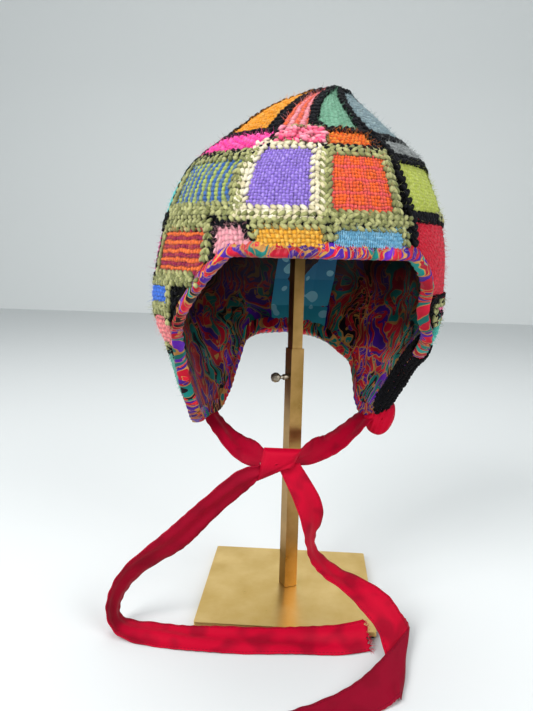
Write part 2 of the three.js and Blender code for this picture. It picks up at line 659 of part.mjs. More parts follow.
function tieBody(tipTurn, knotEnd) {
  const half = THREE.MathUtils.radToDeg(ribbonWidth / 2 / (0.72 * halfWidth));
  const hemPoint = (turn, depth) => underSkin(turn, hemHeight(turn), depth);
  const side = Math.sign(tipTurn) * half;
  const outer = hemPoint(tipTurn - side, knitThick / 2);
  const inner = hemPoint(tipTurn + side, knitThick / 2);
  const edges = [-1, -0.5, 0, 0.5, 1].flatMap((share) => [
    hemPoint(tipTurn + share * half, -bindingGap - bindingWall),
    hemPoint(tipTurn + share * half, liningInner),
  ]);
  const lowest = Math.min(...edges.map((point) => point.z)) - ribbonThick / 2 + tieRise;
  outer.setZ(lowest);
  inner.setZ(lowest);
  const tip = outer.clone().lerp(inner, 0.5);
  const tipAcross = inner.clone().sub(outer).normalize();
  const knot = knotEnd.a.clone().lerp(knotEnd.b, 0.5);
  knot.addScaledVector(tip.clone().sub(knot).normalize(), tieBack);
  const knotAcross = knotEnd.b.clone().sub(knotEnd.a).normalize();
  const rulings = tieRows.map((row) => {
    const middle = tip.clone().lerp(knot, row.along);
    middle.z -= (tipTurn < 0 ? row.left : row.right) * ribbonWidth;
    const across = tipAcross.clone().lerp(knotAcross, row.turned);
    return ruling(middle, across, row.width * ribbonWidth);
  });
  return stripBody(rulings, 2);
}

function tailBody(start, rows) {
  const rulings = rows.map((row) => ({
    a: new THREE.Vector3(row.ax * baseSide, row.ay * baseSide, row.az * knotHeight),
    b: new THREE.Vector3(row.bx * baseSide, row.by * baseSide, row.bz * knotHeight),
  }));
  return stripBody([start, ...rulings], tailSteps);
}

// Stand
const plateTop = basePadThick + gap + basePlateThick;
const lowerTubeStart = plateTop + gap;
const lowerTubeTop = lowerTubeStart + lowerTubeLength;
const upperTubeSide = lowerTubeSide - 2 * tubeWall - 2 * gap;

function squarePlate(side, thick) {
  const half = side / 2 - baseCorner;
  const shape = new THREE.Shape();
  shape.absarc(half, half, baseCorner, 0, Math.PI / 2);
  shape.absarc(-half, half, baseCorner, Math.PI / 2, Math.PI);
  shape.absarc(-half, -half, baseCorner, Math.PI, 1.5 * Math.PI);
  shape.absarc(half, -half, baseCorner, 1.5 * Math.PI, 2 * Math.PI);
  return new THREE.ExtrudeGeometry(shape, { depth: thick, bevelEnabled: false, curveSegments: 3 });
}

function squareTube(side, length) {
  const square = (half) => [
    new THREE.Vector2(-half, -half), new THREE.Vector2(half, -half),
    new THREE.Vector2(half, half), new THREE.Vector2(-half, half),
  ];
  const shape = new THREE.Shape(square(side / 2));
  shape.holes.push(new THREE.Path(square(side / 2 - tubeWall).reverse()));
  return new THREE.ExtrudeGeometry(shape, { depth: length, bevelEnabled: false });
}

// Profile of a turned piece: radius and height pairs that start and end on the axis
function turnedPiece(profile, sides) {
  return new THREE.LatheGeometry(profile.map(([r, z]) => new THREE.Vector2(r, z)), sides);
}

function headProfile() {
  const arc = [0.8, 0.55, 0.28].map((share) => [
    share * headRadius,
    headEdge + headDome * (1 - share * share),
  ]);
  return [[0, 0], [headRadius, 0], [headRadius, headEdge], ...arc, [0, headEdge + headDome]];
}

// The head rises until it is the gap below the lining, so the hat rests on it
function headSeat(liningMesh) {
  const caster = new THREE.Raycaster();
  const upwards = new THREE.Vector3(0, 0, 1);
  liningMesh.material.side = THREE.DoubleSide;
  let rise = Infinity;
  for (const share of [0, 0.2, 0.4, 0.6, 0.8, 0.9, 1]) {
    for (let turn = 0; turn < 360; turn += 5) {
      const angle = THREE.MathUtils.degToRad(turn);
      const radius = share * headRadius;
      const dome = headEdge + headDome * (1 - share * share);
      const start = new THREE.Vector3(radius * Math.cos(angle), radius * Math.sin(angle), dome);
      caster.set(start, upwards);
      rise = Math.min(rise, caster.intersectObject(liningMesh)[0].distance);
    }
  }
  return rise - gap;
}

const liningShape = liningBody();
const headBase = headSeat(new THREE.Mesh(liningShape, new THREE.MeshStandardMaterial()));
const upperTubeStart = lowerTubeTop - tubeOverlap;
const upperTubeLength = headBase - gap - upperTubeStart;

function screwProfile() {
  const ballMiddle = screwCollarLength + screwNeckLength + 0.9 * screwBallRadius;
  const ball = [-60, -25, 10, 45].map((degrees) => {
    const angle = THREE.MathUtils.degToRad(degrees);
    return [screwBallRadius * Math.cos(angle), ballMiddle + screwBallRadius * Math.sin(angle)];
  });
  return [
    [0, 0], [screwCollarRadius, 0], [screwCollarRadius, screwCollarLength],
    [screwNeckRadius, screwCollarLength], [screwNeckRadius, ballMiddle - 0.9 * screwBallRadius],
    ...ball, [0, ballMiddle + screwBallRadius],
  ];
}

// Assembly
function finish(colour, roughness, metalness = 0) {
  return new THREE.MeshStandardMaterial({ color: colour, roughness, metalness });
}

function addPiece(parent, name, geometry, material) {
  const mesh = new THREE.Mesh(geometry, material);
  mesh.name = name;
  parent.add(mesh);
  return mesh;
}

const stand = new THREE.Group();
const brass = () => finish(colours.brass, 0.35, 1);
addPiece(stand, 'base_pad', squarePlate(baseSide - 2, basePadThick), finish(colours.felt, 0.95));
const plate = addPiece(stand, 'base_plate', squarePlate(baseSide, basePlateThick), brass());
plate.position.z = basePadThick + gap;

const pole = new THREE.Group();
pole.rotation.z = THREE.MathUtils.degToRad(poleTurn);
stand.add(pole);
const lowerTube = addPiece(pole, 'lower_tube', squareTube(lowerTubeSide, lowerTubeLength), brass());
lowerTube.position.z = lowerTubeStart;
const upperTube = addPiece(pole, 'upper_tube', squareTube(upperTubeSide, upperTubeLength), brass());
upperTube.position.z = upperTubeStart;
const screw = addPiece(pole, 'thumb_screw', turnedPiece(screwProfile(), 12), finish(colours.steel, 0.4, 1));
screw.rotation.z = Math.PI / 2;
screw.position.set(-lowerTubeSide / 2 - gap, 0, lowerTubeTop - screwDrop);
const head = addPiece(stand, 'head_disc', turnedPiece(headProfile(), 24), brass());
head.rotation.x = Math.PI / 2;
head.position.z = headBase;

const hat = new THREE.Group();
addPiece(hat, 'crochet_frame', crochetBody(), finish(colours.wool, 0.95));
for (const patch of patches) {
  addPiece(hat, patch.name, patchBody(patch), finish(patch.colour, 0.95));
}
addPiece(hat, 'lining', liningShape, finish(colours.satin, 0.4));
addPiece(hat, 'label', labelBody(), finish(colours.label, 0.6));

const ties = new THREE.Group();
const ribbon = () => finish(colours.ribbon, 0.5);
const back = 0.11;
const fore = -0.11;
const leftTieEnd = knotRuling('lower left', 'top left', 0.5, 0.96, back);
const rightTieEnd = knotRuling('lower right', 'top right', 0.1, 0.9, back);
const leftTailStart = knotRuling('top left', 'lower left', 0.52, 0.97, fore);
const rightTailStart = knotRuling('bottom', 'lower right', 0, 1.6, fore);
addPiece(ties, 'tie_left', tieBody(-114, leftTieEnd), ribbon());
addPiece(ties, 'tie_right', tieBody(116, rightTieEnd), ribbon());
addPiece(ties, 'knot', knotBody(), ribbon());
addPiece(ties, 'tail_left', tailBody(leftTailStart, tailLeft), ribbon());
addPiece(ties, 'tail_right', tailBody(rightTailStart, tailRight), ribbon());

const group = new THREE.Group();
group.add(stand, hat, ties);

export default group;
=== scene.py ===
# %% [markdown]
# # Ear-flap hat on a stand
# The hat is knitted squares in a crocheted ground, lined with printed satin, and it hangs on a
# brass stand. Its ribbons are knotted in front of the pole. The plain solids come in with the
# frame, and each later step gives one finish or one soft piece. Work is in millimetres, and each
# mesh is scaled to metres when it is made.

import bpy
import numpy as np
from mathutils import Matrix, Vector


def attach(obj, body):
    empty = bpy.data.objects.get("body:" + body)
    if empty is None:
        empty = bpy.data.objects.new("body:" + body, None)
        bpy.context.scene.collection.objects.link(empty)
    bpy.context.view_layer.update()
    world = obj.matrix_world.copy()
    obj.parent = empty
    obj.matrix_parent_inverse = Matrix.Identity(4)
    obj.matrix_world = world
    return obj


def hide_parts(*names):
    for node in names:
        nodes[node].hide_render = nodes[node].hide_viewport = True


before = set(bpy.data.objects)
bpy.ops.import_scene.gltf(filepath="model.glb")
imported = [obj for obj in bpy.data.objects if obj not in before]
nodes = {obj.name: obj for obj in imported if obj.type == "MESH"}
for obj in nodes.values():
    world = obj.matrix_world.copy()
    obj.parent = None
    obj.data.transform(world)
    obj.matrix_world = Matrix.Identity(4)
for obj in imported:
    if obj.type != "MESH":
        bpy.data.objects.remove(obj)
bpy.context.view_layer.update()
rng = np.random.default_rng(7)
print("CAD nodes:", len(nodes))

# %% [markdown]
# ## Sizes and tables shared with the solids
# The hat is soft, so its shape is measured rather than designed: how wide it is at each height,
# how low the hem hangs at each turn, and where it is pushed in. Points read from the solids would
# give the shape as well, but not between them. The same tables as in the solids do, so stitches,
# satin and label sit on one surface. Turns are in degrees from the face, positive towards +X.
# Heights are shares of the crown's rise above the rim, or of the flaps' drop below it.

# %% Sizes
BASE_SIDE = 125
# The rim above the floor, the crown above the rim and the flaps below it
RIM, RISE, DROP = 255, 114, 125
APEX = RIM + RISE
HALF_WIDTH, DEPTH_TO_WIDTH, HAT_TURN = 100.5, 1.03, 6.5
# The crochet between two squares, and the ribbon's width
BAND = 5
RIBBON = 22
KNOT = np.array([-9.0, -38.0, 113.0])
print("width and height of the hat:", 2 * HALF_WIDTH, RISE + DROP)

# %% Tables
# up, half the width, lean to the right
SECTIONS = [
    (1, 0, 0.21), (0.985, 0.075, 0.205), (0.945, 0.165, 0.165), (0.89, 0.275, 0.115),
    (0.81, 0.41, 0.085), (0.71, 0.545, 0.07), (0.645, 0.63, 0.065), (0.56, 0.745, 0.055),
    (0.44, 0.84, 0.035), (0.28, 0.92, 0.03), (0.1, 0.968, 0.025), (0, 0.985, 0.02),
    (-0.22, 1, 0.01), (-0.38, 0.97, 0), (-0.53, 0.9, 0), (-0.76, 0.81, 0),
    (-0.9, 0.75, 0), (-1.1, 0.69, 0),
]
# turn, drop on the left, drop on the right
HEM = [
    (0, 0, 0), (30, 0, 0), (38, 0.08, 0), (45, 0.18, 0.05), (52, 0.29, 0.15),
    (60, 0.42, 0.34), (68, 0.56, 0.46), (76, 0.74, 0.53), (82, 0.88, 0.58),
    (90, 0.97, 0.65), (97, 1, 0.78), (104, 1, 0.93), (110, 1, 1), (121, 1, 1),
    (128, 0.98, 0.94), (134, 0.93, 0.82), (140, 0.87, 0.7), (148, 0.74, 0.64),
    (156, 0.57, 0.58), (166, 0.53, 0.54), (180, 0.52, 0.52),
]
# turn, up, push, spread, tall
DENTS = [
    (57, -0.27, 0.05, 11, 0.11), (80, -0.42, -0.02, 14, 0.16), (180, -0.55, 0.07, 34, 0.13),
    (82, 0.62, -0.03, 22, 0.12), (-60, 0.75, 0.02, 25, 0.12), (-48, 0.2, 0.012, 20, 0.2),
    (-88, -0.25, -0.012, 25, 0.2),
]
JOINT_UPS = (0.8, 0.6, 0.38, 0.03, -0.4)
JOINTS = [
    (-72, -75, -72, -74, -78), (-45, -48, -43, -39, -44), (-13, -24, -31, -22, -24),
    (-2, 2, 1, 4, 4), (25, 34, 36, 38, 40), (82, 84, 84, 84, 84), (126, 126, 126, 124, 128),
    (168, 168, 170, 176, 179), (206, 207, 208, 212, 214), (246, 247, 247, 246, 246),
]
# level: front, back
LEVELS = {
    "cap": (0.945, 0.945), "top_end": (0.68, 0.69), "upper_start": (0.645, 0.65),
    "upper_end": (0.54, 0.5), "middle_start": (0.522, 0.46), "middle_end": (0.235, 0.19),
    "lower_start": (0.15, 0.14), "lower_end": (-0.12, -0.13), "side_start": (-0.155, -0.165),
    "side_mid": (-0.27, -0.32), "side_lower": (-0.3, -0.36), "side_end": (-0.49, -0.53),
    "flap_start": (-0.52, -0.57), "flap_end": (-1.1, -1.1),
}


# %% [markdown]
# ## The skin
# The hat hangs as a soft shell that narrows to its crown and splits into two flaps. It could be
# sculpted or come from a cloth simulation, but then it would not be the surface of the solids. So
# a smooth curve runs through each table, and the skin is an oval at every height, with dents.
# `under_skin` gives a point below it, or outside it where the depth is negative.

# %% Smooth curves through the tables
def curve_through(xs, ys):
    """A function that runs through the points and turns back only where they do."""
    order = np.argsort(xs)
    x, y = np.array(xs, float)[order], np.array(ys, float)[order]
    steps = np.diff(y) / np.diff(x)
    product = steps[:-1] * steps[1:]
    total = np.where(np.abs(steps[:-1] + steps[1:]) < 1e-9, 1, steps[:-1] + steps[1:])
    inner = np.where(product <= 0, 0, 2 * product / total)
    slopes = np.concatenate([[steps[0]], inner, [steps[-1]]])

    def at(value):
        v = np.clip(value, x[0], x[-1])
        i = np.clip(np.searchsorted(x, v, side="right") - 1, 0, len(steps) - 1)
        width = x[i + 1] - x[i]
        t = (v - x[i]) / width
        start = y[i] * (1 + 2 * t) * (1 - t) ** 2 + slopes[i] * width * t * (1 - t) ** 2
        end = y[i + 1] * t * t * (3 - 2 * t) + slopes[i + 1] * width * t * t * (t - 1)
        return start + end

    return at


half_at = curve_through([r[0] for r in SECTIONS], [r[1] for r in SECTIONS])
lean_at = curve_through([r[0] for r in SECTIONS], [r[2] for r in SECTIONS])
hem_left = curve_through([r[0] for r in HEM], [r[1] for r in HEM])
hem_right = curve_through([r[0] for r in HEM], [r[2] for r in HEM])
joint_at = [curve_through(JOINT_UPS, row) for row in JOINTS]
print("half the width at the rim:", half_at(0.0) * HALF_WIDTH)


# %% Skin
def wrap(turn):
    return (np.asarray(turn, float) + 180) % 360 - 180


def height_of(up):
    return RIM + up * np.where(np.asarray(up) > 0, RISE, DROP)


def up_of(height):
    height = np.asarray(height, float)
    return (height - RIM) / np.where(height > RIM, RISE, DROP)


def hem_height(turn):
    t = wrap(turn)
    return RIM - DROP * np.where(t < 0, hem_left(-t), hem_right(t))


def skin(turn, height):
    up = up_of(height)
    push = sum(
        dent[2] * np.exp(-((wrap(turn - dent[0]) / dent[3]) ** 2) - ((up - dent[1]) / dent[4]) ** 2)
        for dent in DENTS
    )
    radius = HALF_WIDTH * half_at(up) * (1 - push)
    angle = np.radians(turn + HAT_TURN)
    x = HALF_WIDTH * lean_at(up) + radius * np.sin(angle)
    return np.stack([x, -radius * DEPTH_TO_WIDTH * np.cos(angle), height + 0 * x], axis=-1)


def unit(v):
    return v / np.maximum(np.linalg.norm(v, axis=-1, keepdims=True), 1e-9)


def skin_normal(turn, height):
    upper = np.minimum(height + 1, APEX - 0.5)
    along = skin(turn + 1, upper) - skin(turn - 1, upper)
    rise = skin(turn, upper) - skin(turn, upper - 2)
    return unit(np.cross(along, rise))


def under_skin(turn, height, depth):
    turn, height = np.broadcast_arrays(np.asarray(turn, float), np.asarray(height, float))
    depth = np.broadcast_to(depth, turn.shape)
    return skin(turn, height) - skin_normal(turn, height) * depth[..., None]


print("rim and flap tip:", hem_height(0), hem_height(115))


# %% [markdown]
# ## Helpers for meshes and node materials
# A soft piece is a grid or a cloud of points that numpy works out in one go, which keeps it to
# real sizes. `mesh_piece` makes the mesh, ties it to the hat and says which solid it replaces.
# `uv` is in millimetres along the cloth, and `values` are numbers that a material can read. The
# materials are node trees, and `add` makes one node with its settings and links.

# %% Mesh helpers
def grid_faces(rows, cols, closed=False):
    i = np.arange(rows - 1)[:, None]
    j = np.arange(cols if closed else cols - 1)[None, :]
    k = (j + 1) % cols
    quads = [i * cols + j, i * cols + k, (i + 1) * cols + k, (i + 1) * cols + j]
    return np.stack(np.broadcast_arrays(*quads), axis=-1).reshape(-1, 4)


def mesh_piece(name, points, faces, material, uv=None, values=None, replaces=(), slot=None):
    mesh = bpy.data.meshes.new(name)
    in_metres = (np.asarray(points) * 0.001).tolist()
    mesh.from_pydata(in_metres, [], [list(map(int, face)) for face in faces])
    mesh.materials.append(material)
    mesh.polygons.foreach_set("use_smooth", [True] * len(mesh.polygons))
    if uv is not None:
        layer = mesh.uv_layers.new(name="mm")
        order = np.empty(len(mesh.loops), np.int32)
        mesh.loops.foreach_get("vertex_index", order)
        layer.data.foreach_set("uv", np.asarray(uv, np.float32)[order].ravel())
    for key, numbers in (values or {}).items():
        attribute = mesh.attributes.new(key, "FLOAT", "POINT")
        attribute.data.foreach_set("value", np.asarray(numbers, np.float32))
    piece = bpy.data.objects.new(name, mesh)
    bpy.context.collection.objects.link(piece)
    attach(piece, "root")
    if replaces:
        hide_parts(*replaces)
    return piece


# %% Material helpers
def linear(text):
    """An sRGB colour in hex as the linear colour that nodes take."""
    values = np.array([int(text[i:i + 2], 16) for i in (0, 2, 4)]) / 255
    low = values / 12.92
    high = ((values + 0.055) / 1.055) ** 2.4
    return (*np.where(values <= 0.04045, low, high).tolist(), 1.0)


def set_stops(colour_ramp, interpolation, stops):
    """Colours along a ramp, each held up to the next one or blended into it."""
    colour_ramp.interpolation = interpolation
    while len(colour_ramp.elements) < len(stops):
        colour_ramp.elements.new(0.5)
    for element, (place, colour) in zip(colour_ramp.elements, stops):
        element.position = place
        element.color = linear(colour)


def add(tree, kind, settings=None, *values, **named):
    """A new node's outputs. Inputs take values or sockets in order, by name, or as _6 by number."""
    node = tree.nodes.new("ShaderNode" + kind)
    for key, value in (settings or {}).items():
        if key == "stops":
            set_stops(node.color_ramp, *value)
        else:
            setattr(node, key, value)
    numbered = {int(key[1:]): value for key, value in named.items() if key[0] == "_"}
    by_name = {key.replace("_", " "): value for key, value in named.items() if key[0] != "_"}
    for place, value in {**dict(enumerate(values)), **numbered, **by_name}.items():
        if isinstance(value, bpy.types.NodeSocket):
            tree.links.new(value, node.inputs[place])
        else:
            node.inputs[place].default_value = value
    return node.outputs


def new_material(name, roughness, metallic=0.0):
    material = bpy.data.materials.new(name)
    material.use_nodes = True
    tree = material.node_tree
    shader = tree.nodes["Principled BSDF"]
    shader.inputs["Roughness"].default_value = roughness
    shader.inputs["Metallic"].default_value = metallic
    return material, tree, shader


# Settings that many nodes share: sums, comparisons, and how two colours meet
PLUS, MINUS, TIMES = ({"operation": name} for name in ("ADD", "SUBTRACT", "MULTIPLY"))
TIMES_PLUS, HIGHER, DECIMALS = ({"operation": name} for name in ("MULTIPLY_ADD", "MAXIMUM", "FRACT"))
BELOW, ABOVE, UNSIGNED = ({"operation": name} for name in ("LESS_THAN", "GREATER_THAN", "ABSOLUTE"))
BLEND = {"data_type": "RGBA"}
SHADE = {"data_type": "RGBA", "blend_type": "MULTIPLY"}


# %% [markdown]
# ## Yarn
# The squares and the crochet are spun wool, knitted by hand. Wool is matt: light goes in between
# its hairs, the edges have a faint sheen, and the dye is never quite even. The shade in the valleys
# between stitches is painted into the colour. A picture of wool would not follow these stitches. So
# each mesh brings two values of its own. The relief value paints that shade, and `second` says
# where the yarn's second colour shows. Noise adds the hairs and the uneven dye.

# %% Yarn
# Cells of noise to a metre: hairs 1.1 mm apart, and dye that changes every 6 mm
HAIRS, DYE = 900.0, 160.0


def yarn_material(name, first, second, sheen=0.15):
    """Spun wool: no highlight, painted shade in the valleys and a soft edge."""
    material, tree, shader = new_material(name, 0.95)
    relief_and_shade = add(tree, "Attribute", {"attribute_name": "relief_and_shade"})["Fac"]
    other = add(tree, "Attribute", {"attribute_name": "second"})["Fac"]
    place = add(tree, "TexCoord")["Object"]
    hairs = add(tree, "TexNoise", None, Vector=place, Scale=HAIRS, Detail=3.0)[0]
    dye = add(tree, "TexNoise", None, Vector=place, Scale=DYE, Detail=2.0)[0]
    base = add(tree, "Mix", BLEND, other, _6=linear(first), _7=linear(second))[2]
    # Painted shade: the colour darkens where the relief is low, in the valleys between stitches
    light = add(tree, "Math", TIMES_PLUS, relief_and_shade, 0.88, 0.17)[0]
    for noise, strength in ((hairs, 0.5), (dye, 0.35)):
        change = add(tree, "Math", TIMES_PLUS, noise, strength, -strength / 2)[0]
        light = add(tree, "Math", PLUS, light, change)[0]
    tree.links.new(add(tree, "Mix", SHADE, 1.0, _6=base, _7=light)[2], shader.inputs["Base Color"])
    bump = add(tree, "Bump", None, Strength=0.5, Distance=0.0006, Height=hairs)
    tree.links.new(bump[0], shader.inputs["Normal"])
    shader.inputs["Sheen Weight"].default_value = sheen
    shader.inputs["Sheen Roughness"].default_value = 0.5
    shader.inputs["Specular IOR Level"].default_value = 0.15
    return material


# %% [markdown]
# ## Table of the squares
# The hat is made of 44 squares, each from a yarn and a stitch of its own. They could be objects
# set up one by one. A table is shorter, and a square can be recoloured or moved in one line. The
# squares of the back can't be seen and go on in the same way.

# %% Stitches and colours
# name: weave, stitch in mm, first and second colour, crochet round it
SQUARES = {
    "amber_wedge": ("knit", 3.2, "f39a12", "f9b64a", "black"),
    "coral_gusset": ("rib", 2.6, "ee6a3c", "f9a3b0", "black"),
    "sage_wedge": ("felt", 2.4, "6fa387", "7fb295", "black"),
    "mist_wedge": ("knit", 3.0, "7f979e", "9db3b6", "black"),
    "plum_wedge": ("garter", 3.2, "7d2f66", "a04f86", "black"),
    "ochre_wedge": ("knit", 3.2, "c6982c", "dcb65a", "olive"),
    "teal_wedge": ("plain", 3.0, "1f7a80", "3c9a98", "black"),
    "hot_pink": ("bobble", 3.6, "ff3f9f", "ff74bb", "black"),
    "pink_bobble": ("bobble", 4.0, "f42f6e", "f9a2b2", "olive"),
    "tangerine": ("garter", 2.8, "f4641c", "fba13c", "black"),
    "grey": ("knit", 3.0, "7c8181", "a9aeac", "black"),
    "ice": ("felt", 2.6, "93abb0", "b6c8c9", "black"),
    "sea_green": ("plain", 3.0, "2f9078", "58ae95", "black"),
    "mustard": ("garter", 3.0, "d8a02c", "e8bd62", "olive"),
    "lilac": ("knit", 3.0, "9a7cc6", "bba4dc", "black"),
    "navy_tweed": ("garter", 3.2, "1f4654", "4d7480", "black"),
    "lime_stripe": ("stripe", 3.2, "a9b85e", "3f68ad", "olive"),
    "violet": ("plain", 2.3, "8f72d2", "b49cea", "cream"),
    "orange_plaid": ("plaid", 2.3, "f4682a", "ea5a5e", "olive"),
    "lime": ("felt", 2.4, "b6c24f", "c7cf73", "black"),
    "moss": ("plain", 3.0, "667638", "86934f", "cream"),
    "rose": ("knit", 3.2, "d25a7c", "e68ba3", "black"),
    "cobalt": ("garter", 3.0, "2853a6", "4f78c6", "olive"),
    "brick": ("plain", 3.2, "b33c28", "cf6448", "black"),
    "turquoise": ("plain", 3.2, "3fc3c2", "7ad7d3", "black"),
    "maroon_stripe": ("rows", 3.0, "8f2348", "ef7436", "olive"),
    "blush": ("plain", 3.0, "f2a3b0", "f8c3c6", "black"),
    "gold": ("plain", 2.5, "e9a52e", "f6c860", "olive"),
    "sky": ("knit", 2.5, "78bce0", "9ed2ec", "olive"),
    "scarlet": ("felt", 2.4, "c8102c", "df3046", "black"),
    "pewter": ("garter", 3.0, "84878f", "a8abb0", "black"),
    "apple": ("plain", 3.0, "86ad3c", "a7c664", "black"),
    "cherry": ("knit", 3.0, "b81f3c", "d84a60", "olive"),
    "sand": ("plain", 3.2, "d4b47c", "e5cda2", "black"),
    "magenta": ("garter", 3.0, "c22f80", "dc62a4", "black"),
    "candy": ("plain", 3.0, "e4578a", "f08fb0", "olive"),
    "mint": ("bobble", 3.4, "3fb3a4", "74cfc0", "black"),
    "peach": ("knit", 3.0, "eea478", "f6c4a4", "black"),
    "orange_hem": ("plain", 3.0, "e67a1e", "f09c4c", "olive"),
    "lime_hem": ("garter", 3.0, "a3b83a", "bfce66", "black"),
    "royal_blue": ("plain", 3.0, "2a62cf", "4f86e0", "olive"),
    "salmon": ("garter", 3.0, "f07f84", "f5a39c", "olive"),
    "fern_flap": ("felt", 2.6, "4f8f4c", "6fa968", "black"),
    "jade_flap": ("bobble", 3.4, "5aa391", "83bfae", "black"),
}
# %% Places
# name: first and last column, level at the top and at the foot
PLACES = {
    "amber_wedge": (0, 1, "cap", "top_end"), "coral_gusset": (2, 2, "cap", "top_end"),
    "sage_wedge": (3, 3, 0.98, "top_end"), "mist_wedge": (4, 4, "cap", "top_end"),
    "plum_wedge": (5, 6, "cap", "top_end"), "ochre_wedge": (7, 7, "cap", "top_end"),
    "teal_wedge": (8, 9, "cap", "top_end"), "hot_pink": (0, 1, "upper_start", "upper_end"),
    "pink_bobble": (2, 2, 0.665, 0.6), "tangerine": (3, 3, 0.665, 0.565),
    "lime_stripe": (0, 1, "middle_start", "middle_end"), "violet": (2, 2, 0.58, 0.212),
    "orange_plaid": (3, 3, 0.545, 0.205), "scarlet": (4, 4, 0.21, -0.2),
    "candy": (5, 5, -0.235, -0.33), "mint": (5, 5, "side_lower", "side_end"),
    "royal_blue": (9, 9, "side_start", "side_mid"), "salmon": (9, 9, "side_lower", "side_end"),
    "fern_flap": (5, 5, "flap_start", "flap_end"), "jade_flap": (9, 9, "flap_start", "flap_end"),
}
# Squares that fill one column each, from a first column onwards
for row, column, names in (
    ("upper", 4, ("grey", "ice", "sea_green", "mustard", "lilac", "navy_tweed")),
    ("middle", 4, ("lime", "moss", "rose", "cobalt", "brick", "turquoise")),
    ("lower", 0, ("maroon_stripe", "blush", "gold", "sky")),
    ("lower", 5, ("pewter", "apple", "cherry", "sand", "magenta")),
    ("side", 6, ("lime_hem", "orange_hem", "peach")),
):
    for step, name in enumerate(names):
        PLACES[name] = (column + step, column + step, row + "_start", row + "_end")
# Squares that reach past their joints: first and last turn
REACH = {
    "royal_blue": (246, 301), "salmon": (246, 299), "jade_flap": (246, 291), "candy": (64, 126),
    "mint": (66, 125), "amber_wedge": (-73, -31), "coral_gusset": (-28, -6),
    "sage_wedge": (-5, 25), "tangerine": (-2, 29), "orange_plaid": (0.5, 32), "sky": (4, 34.5),
    "violet": (-31, 1),
}
# Squares set back from their crochet by some millimetres, with a second row of stitches
INSET = {
    "violet": 2.4, "orange_plaid": 1.4, "lime_stripe": 2.0, "lime": 1.2, "maroon_stripe": 1.6,
}
# Squares that are larger than their solids, so that no knot of the ground may show in them
LARGER = (*REACH, "scarlet", "pink_bobble", "gold", "blush")
missing = {"patch_" + name for name in SQUARES} ^ {n for n in nodes if n.startswith("patch_")}
print("squares without a CAD node, or the other way round:", missing)


# %% [markdown]
# ## Knitted squares
# A square is a small piece of knitting, weaving or felt that puffs out inside its crochet. A
# displacement modifier needs an even, fine mesh, which the solid hasn't got. So each square is a
# grid of its own with four to six points to a stitch, and its relief comes from its weave at the
# stitch's real size. `square_at` maps a share across and down to a turn and a height.

# %% Place of the squares
# Squares end above the hem, and their levels pass from front to back over the ears
HEM_MARGIN = 4.5
EAR_TURN, EAR_SPREAD = 70, 22


def square_at(name, across, down, margin=0.0):
    first, last, top, foot = PLACES[name]
    after = (last + 1) % len(JOINTS)

    def edges(up):
        start = joint_at[first](up)
        end = joint_at[after](up) + (360 if after == 0 else 0)
        if name in REACH:
            start, end = (turn + 0 * start for turn in REACH[name])
        half = np.degrees((BAND / 2 + margin) / np.maximum(HALF_WIDTH * half_at(up), BAND))
        half = np.minimum(half, (end - start) / 3)
        return start + half, end - half

    start, end = edges(0.0)
    at_rim = start + across * (end - start)
    back = np.clip((np.abs(wrap(at_rim)) - EAR_TURN) / EAR_SPREAD, 0, 1)
    back = back * back * (3 - 2 * back)
    low = hem_height(at_rim) + HEM_MARGIN
    for _ in range(12):
        start, end = edges(up_of(low))
        low = 0.5 * low + 0.5 * (hem_height(start + across * (end - start)) + HEM_MARGIN)
    pairs = [LEVELS.get(level, (level, level)) for level in (top, foot)]
    levels = [height_of(pair[0] * (1 - back) + pair[1] * back) for pair in pairs]
    upper = np.maximum(levels[0], low) - margin
    lower = np.minimum(np.maximum(levels[1], low) + margin, upper)
    height = upper + down * (lower - upper)
    start, end = edges(up_of(height))
    return start + across * (end - start), height


# %% Relief of the stitches
def weave(kind, u, v):
    """Relief from 0 to 1, which also paints shade, and share of the second colour, at stitch counts u
    and v.
    """
    fu, fv = u % 1, v % 1
    odd = (np.floor(u) + np.floor(v)) % 2
    bump_u, bump_v = np.sin(np.pi * fu), np.sin(np.pi * fv)
    if kind in ("plain", "plaid", "rows", "stripe"):
        over = bump_u ** 0.5 * (0.55 + 0.45 * bump_v)
        under = bump_v ** 0.5 * (0.55 + 0.45 * bump_u)
        relief_and_shade = np.where(odd > 0, over, under * 0.92)
    elif kind == "garter":
        relief_and_shade = bump_v ** 0.6 * (0.7 + 0.3 * np.sin(2 * np.pi * (u + 0.5 * np.floor(v))))
    elif kind == "knit":
        slope = v + 0.9 * np.abs(fu - 0.5)
        relief_and_shade = (0.35 + 0.65 * np.sin(np.pi * (slope % 1)) ** 0.7) * np.sin(2 * np.pi * fu) ** 2
        relief_and_shade = 0.15 + 0.85 * relief_and_shade
    elif kind == "rib":
        relief_and_shade = bump_u ** 0.5 * (0.7 + 0.3 * np.sin(2 * np.pi * v))
    elif kind == "bobble":
        relief_and_shade = (bump_u * np.sin(np.pi * ((v + 0.5 * (np.floor(u) % 2)) % 1))) ** 0.5
    else:
        relief_and_shade = 0.55 + 0.45 * bump_u * bump_v
    second = {
        "plaid": 0.75 * ((np.floor(v) % 4) < 1) + 0.45 * ((np.floor(u) % 5) < 2),
        "rows": 1.0 * ((np.floor(v) % 2) > 0),
        "stripe": 1.0 * ((np.floor(u) % 2) > 0),
        "rib": 1.0 * ((np.floor(u) % 2) > 0),
        "plain": 0.5 * odd,
    }.get(kind, 0.6 * ((np.floor(u * 0.7 + 2 * np.sin(v)) % 3) < 1))
    return relief_and_shade, np.clip(second, 0, 1)


def soft_noise(u, v, seed):
    """Slow waves from -1 to 1 that keep two stitches from being alike."""
    a = np.random.default_rng(seed).uniform(0, 6.28, 6)
    return (
        np.sin(1.3 * u + 0.7 * v + a[0]) + np.sin(0.6 * u - 1.7 * v + a[1])
        + np.sin(2.3 * u + 1.9 * v + a[2]) + 0.6 * np.sin(4.1 * u - 3.3 * v + a[3])
    ) / 3.6


